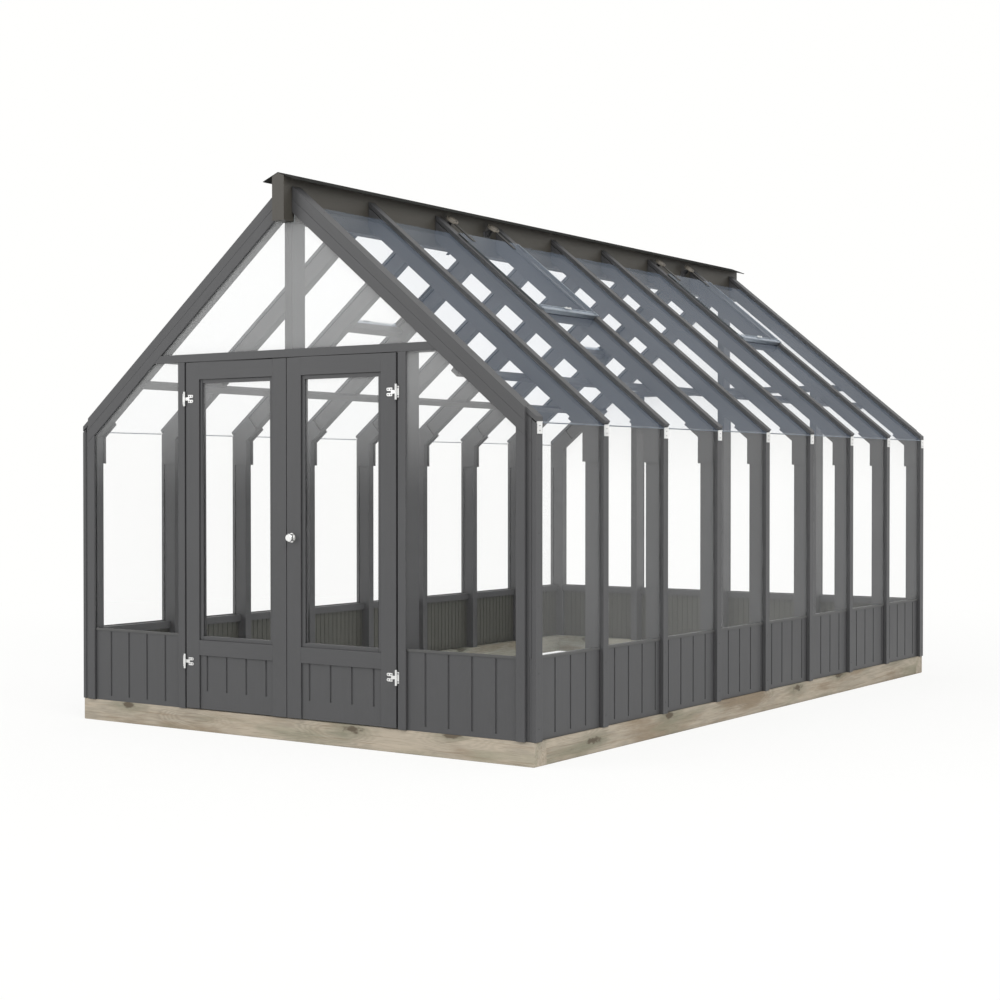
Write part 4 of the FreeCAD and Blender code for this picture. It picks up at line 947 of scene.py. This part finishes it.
@dataclass
class TimberFrame(Assembly):
    """All timbers: most are copies of their solids with eased edges, and each is painted along its fibres."""

    ease: float = 0.0016
    base_ease: float = 0.004
    weld: float = 1e-5
    straight: float = math.radians(1.0)
    sharp: float = math.radians(30.0)
    ways: dict[Grain, tuple[str, ...]] = field(default_factory=lambda: {
        Grain.UPRIGHT: (
            "corner_posts", "wall_posts", "door_jambs", "rear_studs", "king_posts", "corner_boards", "gable_boards",
            "wall_cladding", "gable_cladding", "wall_linings", "wall_strips", "left_door_panel", "right_door_panel"),
        Grain.PITCHED: ("gable_rafters", "roof_rafters", "rafter_boards", "roof_strips", "eave_gussets"),
        Grain.LENGTHWISE: ("ridge_beam", "purlins", "vent_trimmers"),
        Grain.CROSSWISE: ("gable_transoms",),
        Grain.LEAF: ("left_door_frame", "right_door_frame"),
        Grain.ROUND_HOUSE: ("wall_rails",),
    })
    # The linings take a grey paint tinted by a painted reflection; the ridge beam has its own warmer paint.
    special: dict[str, str] = field(
        default_factory=lambda: {"wall_linings": "lining_paint", "ridge_beam": "beam_paint"})
    kept: tuple[str, ...] = ("wall_linings", "wall_rails", "eave_gussets")

    def build(self) -> None:
        """Make and paint the timbers."""
        bodies = self.frame["record"]["behaviour"]["bodies"]
        body_of = {node: body for body, nodes in bodies.items() for node in nodes}
        for way, nodes in self.ways.items():
            for node in nodes:
                paint = self.special.get(node, self.palette.paint(way))
                if node in self.kept:
                    self.dress(node, paint)
                else:
                    self.replace(node, self.ease, Fitting(node + "_eased", body_of[node], "grey_paint", paint))
        base = Fitting("base_timbers_eased", "house", "treated_timber", "treated_timber")
        self.replace("base_timbers", self.base_ease, base)
        # The sill beads get the slightly lighter paint, a painted highlight.
        self.dress("sill_beads", "sill_paint")

    def replace(self, node: str, ease: float, to: Fitting) -> None:
        """Put a copy with its corners merged and its edges eased in the place of a node.

        Args:
            node: Name of the node.
            ease: Width of the eased edge.
            to: Fitting of the copy.
        """
        piece = bpy.data.objects.new(to.name, self.frame["nodes"][node].data.copy())
        bpy.context.scene.collection.objects.link(piece)
        pick(piece)
        bpy.ops.object.mode_set(mode="EDIT")
        bpy.ops.mesh.select_all(action="SELECT")
        bpy.ops.mesh.remove_doubles(threshold=self.weld)
        bpy.ops.mesh.dissolve_limited(angle_limit=self.straight)
        bpy.ops.object.mode_set(mode="OBJECT")
        bevel = piece.modifiers.new("eased", "BEVEL")
        bevel.limit_method = "ANGLE"
        bevel.angle_limit = self.sharp
        bevel.width = ease
        bevel.segments = 2
        bevel.use_clamp_overlap = False
        flat = piece.modifiers.new("flat", "WEIGHTED_NORMAL")
        flat.weight = 100
        flat.keep_sharp = True
        shade_smooth(piece)
        for modifier in list(piece.modifiers):
            bpy.ops.object.modifier_apply(modifier=modifier.name)
        self.fit(piece, to)
        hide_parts(node)


@dataclass
class Glazing(Assembly):
    """Panes, the grey seals along the cover strips, and the thin metal edge of the roof panes."""

    seal_wide: float = 0.004
    seal_tall: float = 0.0024
    seal_ease: float = 0.0006
    slope_top: float = 0.155
    slope_foot: float = 1.862
    wall_foot: float = 0.500
    wall_head: float = 1.500
    eave: float = 1.8755
    edge_thick: float = 0.0022
    edge_tall: float = 0.0055
    edge_ease: float = 0.0005
    edge_clear: float = 0.026

    def build(self) -> None:
        """Dress the panes, lay the seals and edge the eaves."""
        for node in self.frame["nodes"]:
            if node.endswith("glass"):
                where = [place for place in ("vent", "roof", "wall") if place in node] + ["gable"]
                self.dress(node, where[0] + "_glass")
        self.lay_seals()
        self.edge_eaves()

    def seal(self, run: float, places: Sequence[Matrix], name: str) -> None:
        """Lay a length of seal at each place."""
        strip = bar(run, self.seal_wide, self.seal_tall, self.seal_ease)
        self.set_out(strip, places, Fitting(name, "house", "grey_paint", "glazing_seal"), smooth=False)

    def lay_seals(self) -> None:
        """Lay a seal on the glass along both edges of each cover strip."""
        off = SIZES.strip_half + self.seal_wide / 2.0
        ys = [y + step for y in SIZES.frame_ys() for step in (-off, off) if abs(y + step) < SIZES.end_centre]
        middle = (self.slope_foot + self.slope_top) / 2.0
        height = (self.wall_foot + self.wall_head) / 2.0
        above = self.seal_tall / 2.0
        on_walls = []
        for side, hand in HANDS.items():
            on_slope = [SIZES.lying(side, middle, SIZES.glass + above, y) for y in ys]
            self.seal(self.slope_foot - self.slope_top, on_slope, hand + "_roof_seals")
            turn = Matrix.Rotation(side * math.pi / 2.0, 4, "Y")
            on_walls += [Matrix.Translation((side * (SIZES.glass_face + above), y, height)) @ turn for y in ys]
        self.seal(self.wall_head - self.wall_foot, on_walls, "wall_seals")

    def edge_eaves(self) -> None:
        """Put a thin metal edge on the lower end of the roof panes, between the clips."""
        ys = SIZES.frame_ys()
        down, above = self.eave + self.edge_thick / 2.0, SIZES.glass / 2.0
        bays = [(y0 + y1) / 2.0 for y0, y1 in zip(ys, ys[1:])]
        places = [SIZES.lying(side, down, above, y) @ ACROSS for side in HANDS for y in bays]
        run = ys[1] - ys[0] - 2.0 * self.edge_clear
        edge = bar(run, self.edge_thick, self.edge_tall, self.edge_ease)
        self.set_out(edge, places, Fitting("eave_edges", "house", "vent_alloy", "eave_alloy"), smooth=False)


@dataclass
class Ironmongery(Assembly):
    """Metal fittings: finishes for the frame's own, and pins along the cover strips."""

    finishes: dict[str, tuple[str, ...]] = field(default_factory=lambda: {
        "bright_steel": ("glass_clips", "door_hinge_plates", "left_door_hinges", "right_door_hinges"),
        "polished_steel": ("door_knob", "knob_roses"),
        "zinc_steel": ("door_hinge_pins", "bolt_cases", "top_bolt", "bottom_bolt"),
        "screw_steel": ("clip_screws",),
        "stay_steel": ("vent_hinge_brackets", "vent_hinge_pins"),
        "dark_sheet": ("ridge_cap",),
    })
    pin: Head = (0.0032, 0.0012, 10)
    wall_pins: tuple[float, ...] = (0.17, 0.42, 0.72, 1.05, 1.38)
    roof_pins: tuple[float, ...] = (0.25, 0.62, 1.0, 1.38, 1.78)

    def build(self) -> None:
        """Dress the fittings and drive the pins."""
        for finish, nodes in self.finishes.items():
            for node in nodes:
                self.dress(node, finish)
        for node in self.frame["nodes"]:
            if node.endswith("vent_fittings"):
                self.dress(node, "vent_alloy")
            elif node.endswith("vent_stay"):
                self.dress(node, "stay_steel")
        self.strip_pins()

    def strip_pins(self) -> None:
        """Drive painted pins along the cover strips of the walls and the roof."""
        places = []
        for y in SIZES.frame_ys():
            for side in HANDS:
                out, up = Vector((side, 0.0, 0.0)), SIZES.slope_normal(side)
                places += [facing(Vector((side * SIZES.wall_face, y, z)), out) for z in self.wall_pins]
                places += [facing(SIZES.on_slope(side, down, SIZES.strip_rise, y), up) for down in self.roof_pins]
        paint = self.palette.paint(Grain.UPRIGHT)
        self.set_out(button(*self.pin), places, Fitting("strip_pins", "house", "grey_paint", paint))


@dataclass
class DoorHinges(Assembly):
    """Screws in the hinge tabs on the leaves and in the plates on the jambs."""

    axis_x: float = 0.6845
    face: float = 0.003
    heights: tuple[float, float] = (0.357, 1.702)
    tab_screws: tuple[float, float] = (0.033, 0.049)
    tab_rise: float = 0.0125
    tab_head: Head = (0.0036, 0.0012, 12)
    plate_screw: float = 0.0095
    plate_rise: float = 0.019
    plate_head: Head = (0.0034, 0.0012, 12)

    def build(self) -> None:
        """Set the screws of both leaves."""
        plates = []
        for side, hand in HANDS.items():
            tabs = []
            for z in self.heights:
                for way in (-1, 1):
                    tabs += [self.place(side, -x, z + way * self.tab_rise) for x in self.tab_screws]
                    plates.append(self.place(side, self.plate_screw, z + way * self.plate_rise))
            self.screw(self.tab_head, tabs, hand + "_door_hinge_screws", hand + "_door")
        self.screw(self.plate_head, plates, "jamb_hinge_screws", "house")

    def place(self, side: int, off: float, z: float) -> Matrix:
        """Place of a screw beside a hinge's axis, on the face of the gable."""
        at = Vector((side * (self.axis_x + off), -(SIZES.gable_face + self.face), z))
        return facing(at, Vector((0.0, -1.0, 0.0)))

    def screw(self, head: Head, places: Sequence[Matrix], name: str, body: str) -> None:
        """Set screws on a body."""
        self.set_out(button(*head), places, Fitting(name, body, "zinc_steel", "screw_steel"))


@dataclass(frozen=True)
class Vent:
    """One roof vent: its side, its body, and the front and rear edges of its pane along the house."""

    side: int
    body: str
    front: float
    rear: float

    @property
    def middle(self) -> float:
        """Middle of the pane along the house."""
        return (self.front + self.rear) / 2.0

    def fitting(self, part: str, finish: str) -> Fitting:
        """Fitting of a small part of the vent."""
        return Fitting(self.body + part, self.body, "vent_alloy", finish)


@dataclass
class RoofVents(Assembly):
    """Thin alloy trim round the vent panes, their lifting plates, and the covers over their hinges."""

    bays: dict[str, int] = field(default_factory=lambda: {"front": 2, "rear": 6})
    top: float = 0.2022
    foot: float = 0.8904
    pane_top: float = 0.0334
    bar_wide: float = 0.030
    side_gap: float = 0.003
    trim: float = 0.0026
    trim_ease: float = 0.0007
    trim_rise: float = 0.00104
    plate: Triple = (0.013, 0.062, 0.004)
    plate_ease: float = 0.0012
    plate_down: float = 0.004
    plate_rise: float = 0.004
    plate_head: Head = (0.0052, 0.004, 12)
    plate_head_rise: float = 0.006
    plate_head_off: float = 0.018
    hinge_down: float = 0.0792
    hinge_above: float = 0.0354
    hinge_spread: float = 0.198
    hinge_shift: float = -0.028
    cover: Head = (0.0366, 0.0122, 40)
    cover_ease: float = 0.0025
    cover_sunk: float = 0.001
    cover_rim: float = 0.006
    dish_deep: float = 0.0016
    dish_wide: float = 0.018
    dish_rise: float = 0.0012
    boss_inset: float = 0.005
    boss_tall: float = 0.002

    def build(self) -> None:
        """Trim the four vents."""
        ys = SIZES.frame_ys()
        for side, hand in HANDS.items():
            for place, bay in self.bays.items():
                body = "%s_%s_vent" % (hand, place)
                vent = Vent(side, body, ys[bay] + self.side_gap, ys[bay + 1] - self.side_gap)
                self.trim_pane(vent)
                self.lifting_plate(vent)
                self.hinge_covers(vent)

    def trim_pane(self, vent: Vent) -> None:
        """Lay the trim along the rear edge and across the foot of a pane.

        Args:
            vent: Vent to trim.
        """
        half, above = self.trim / 2.0, self.pane_top + self.trim_rise
        rear = [SIZES.lying(vent.side, (self.top + self.foot) / 2.0, above, vent.rear - half)]
        downs = (self.foot - half, self.foot - self.bar_wide)
        foot = [SIZES.lying(vent.side, down, above, vent.middle) @ ACROSS for down in downs]
        across = vent.rear - vent.front - 2.0 * self.trim
        for part, run, places in (("_side_trim", self.foot - self.top, rear), ("_foot_trim", across, foot)):
            strip = bar(run, self.trim, self.trim, self.trim_ease)
            self.set_out(strip, places, vent.fitting(part, "trim_alloy"), smooth=False)

    def lifting_plate(self, vent: Vent) -> None:
        """Fix a small plate with two screws over the bottom bar.

        Args:
            vent: Vent that gets the plate.
        """
        down = self.foot - self.bar_wide + self.plate_down
        seat = SIZES.lying(vent.side, down, self.pane_top + self.plate_rise, vent.middle)
        plate = repeat(bar(*self.plate, self.plate_ease), [seat], vent.body + "_plate")
        above, off = self.pane_top + self.plate_head_rise, self.plate_head_off
        seats = [SIZES.lying(vent.side, down, above, vent.middle + step) for step in (-off, off)]
        screws = repeat(button(*self.plate_head), seats, vent.body + "_plate_screws")
        pick(plate, screws)
        bpy.ops.object.join()
        shade_smooth(plate)
        self.fit(plate, vent.fitting("_plate", "bright_steel"))

    def hinge_covers(self, vent: Vent) -> None:
        """Put a dished round cover over each hinge.

        Args:
            vent: Vent that gets the covers.
        """
        cover = disc(*self.cover)
        pick_top(cover)
        bpy.ops.mesh.bevel(offset=self.cover_ease, segments=3, affect="EDGES")
        pick_top(cover)
        inset(self.cover_rim, -self.dish_deep)
        inset(self.dish_wide, self.dish_rise)
        inset(self.boss_inset, self.boss_tall, extrude=True)
        bpy.ops.object.mode_set(mode="OBJECT")
        above, y = self.hinge_above - self.cover_sunk, vent.middle + self.hinge_shift
        ys = (y - self.hinge_spread, y + self.hinge_spread)
        places = [SIZES.lying(vent.side, self.hinge_down, above, each) for each in ys]
        self.set_out(cover, places, vent.fitting("_hinge_covers", "cover_sheet"))


@dataclass
class RidgeTrim(Assembly):
    """Rolled hems along the ridge cap, and the screws that hold it."""

    wing: float = 0.097
    reach: float = 2.430
    hem: float = 0.005
    hem_ease: float = 0.0018
    hem_drop: float = 0.0022
    screw_off: float = 0.058
    head: Head = (0.006, 0.003, 14)

    def build(self) -> None:
        """Roll the hems and set the screws."""
        sin, cos, tan = (way(SIZES.cap_pitch) for way in (math.sin, math.cos, math.tan))
        edge = self.wing - self.hem / 2.0
        low, high = SIZES.ridge_top - edge * tan - self.hem_drop, SIZES.ridge_top - self.screw_off * tan
        hems = [Matrix.Translation((side * edge, 0.0, low)) @ ACROSS for side in HANDS]
        screws = [
            facing(Vector((side * self.screw_off, y, high)), Vector((side * sin, 0.0, cos)))
            for side in HANDS for y in SIZES.frame_ys()]
        roll = bar(2.0 * self.reach, self.hem, self.hem, self.hem_ease)
        self.set_out(roll, hems, Fitting("cap_hems", "house", "dark_sheet", "dark_sheet"))
        self.set_out(button(*self.head), screws, Fitting("cap_screws", "house", "dark_sheet", "dark_sheet"))


@dataclass
class Studio:
    """Pale floor, white surround, soft lamps and the camera."""

    floor_size: float = 80.0
    floor_drop: float = 0.001
    floor_tone: Colour = (0.94, 0.94, 0.93)
    shadow_near: float = 2.5
    shadow_far: float = 9.0
    shadow_glow: float = 0.84
    white: Colour = (1.0, 1.0, 0.99)
    sky_tone: Colour = (0.985, 0.99, 1.0)
    sky: float = 0.78
    lamp_size: float = 7.0
    lamps: dict[str, tuple[Triple, float]] = field(default_factory=lambda: {
        "key_softbox": ((8.5, -6.5, 9.0), 560.0),
        "fill_softbox": ((-7.0, -9.0, 6.0), 260.0),
    })
    aim: Triple = (0.0, 0.0, 1.2)
    eye: Triple = (5.781, -8.974, 1.295)
    yaw: float = 34.33
    dip: float = 0.70
    lens: float = 63.77
    sensor: float = 36.0

    def build(self) -> None:
        """Set up the floor, the light and the camera."""
        self.floor()
        self.surround()
        for name, (at, power) in self.lamps.items():
            self.lamp(name, at, power)
        self.camera()

    @staticmethod
    def seen(board: NodeBoard) -> Socket:
        """1 for what the camera sees, straight, mirrored or through glass.

        Args:
            board: Board that gets the nodes.

        Returns:
            The mask.
        """
        path = board.add("ShaderNodeLightPath").outputs
        straight = board.sum("MAXIMUM", path["Is Camera Ray"], path["Is Glossy Ray"])
        return board.sum("MAXIMUM", straight, path["Is Transmission Ray"])

    def floor(self) -> None:
        """Lay a pale floor that shows the house's soft shadow."""
        deselect()
        bpy.ops.mesh.primitive_plane_add(size=self.floor_size, location=(0.0, 0.0, -self.floor_drop))
        plane = bpy.context.object
        plane.name = "studio_floor"
        board = Surface("studio_floor")
        board.tree.nodes.remove(board.shader)
        matt = board.add("ShaderNodeBsdfDiffuse", {"Color": self.floor_tone}).outputs[0]
        glow = board.add("ShaderNodeEmission", {"Color": self.white, "Strength": 1.0}).outputs[0]
        away = board.add("ShaderNodeVectorMath", {0: board.at}, operation="LENGTH").outputs["Value"]
        light = board.span(away, self.shadow_near, self.shadow_far, self.shadow_glow, 1.0)
        share = board.times(self.seen(board), light)
        mix = board.add("ShaderNodeMixShader", {0: share, 1: matt, 2: glow}).outputs[0]
        board.feed(board.tree.nodes["Material Output"].inputs["Surface"], mix)
        plane.data.materials.append(board.material)

    def surround(self) -> None:
        """Light the house evenly from all round, in front of plain white."""
        world = bpy.data.worlds.new("studio")
        world.use_nodes = True
        bpy.context.scene.world = world
        board = NodeBoard(world.node_tree)
        back = world.node_tree.nodes["Background"]
        seen = self.seen(board)
        board.feed(back.inputs["Color"], board.blend(seen, self.sky_tone, self.white))
        board.feed(back.inputs["Strength"], board.scaled(seen, 1.0 - self.sky, self.sky))

    def lamp(self, name: str, at: Triple, power: float) -> None:
        """Hang a softbox that points at the house.

        Args:
            name: Name of the lamp.
            at: Its place.
            power: Its power in watts.
        """
        light = bpy.data.lights.new(name, "AREA")
        light.size = self.lamp_size
        light.energy = power
        holder = bpy.data.objects.new(name, light)
        holder.location = at
        holder.rotation_euler = (Vector(self.aim) - Vector(at)).to_track_quat("-Z", "Y").to_euler()
        bpy.context.scene.collection.objects.link(holder)

    def camera(self) -> None:
        """Stand the camera where the photograph was taken from."""
        lens = bpy.data.cameras.new("camera")
        lens.lens = self.lens
        lens.sensor_width = self.sensor
        holder = bpy.data.objects.new("camera", lens)
        holder.location = self.eye
        holder.rotation_euler = (math.radians(90.0 - self.dip), 0.0, math.radians(self.yaw))
        bpy.context.scene.collection.objects.link(holder)
        bpy.context.scene.camera = holder
        bpy.context.scene.view_settings.view_transform = "Standard"


def main() -> None:
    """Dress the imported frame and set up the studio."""
    logging.basicConfig(level=logging.INFO, format="%(name)s: %(message)s")
    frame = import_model()
    deselect()
    palette = Palette()
    Studio().build()
    for assembly in (TimberFrame, Glazing, Ironmongery, DoorHinges, RoofVents, RidgeTrim):
        assembly(frame, palette).build()
    deselect()


if __name__ == "__main__":
    main()
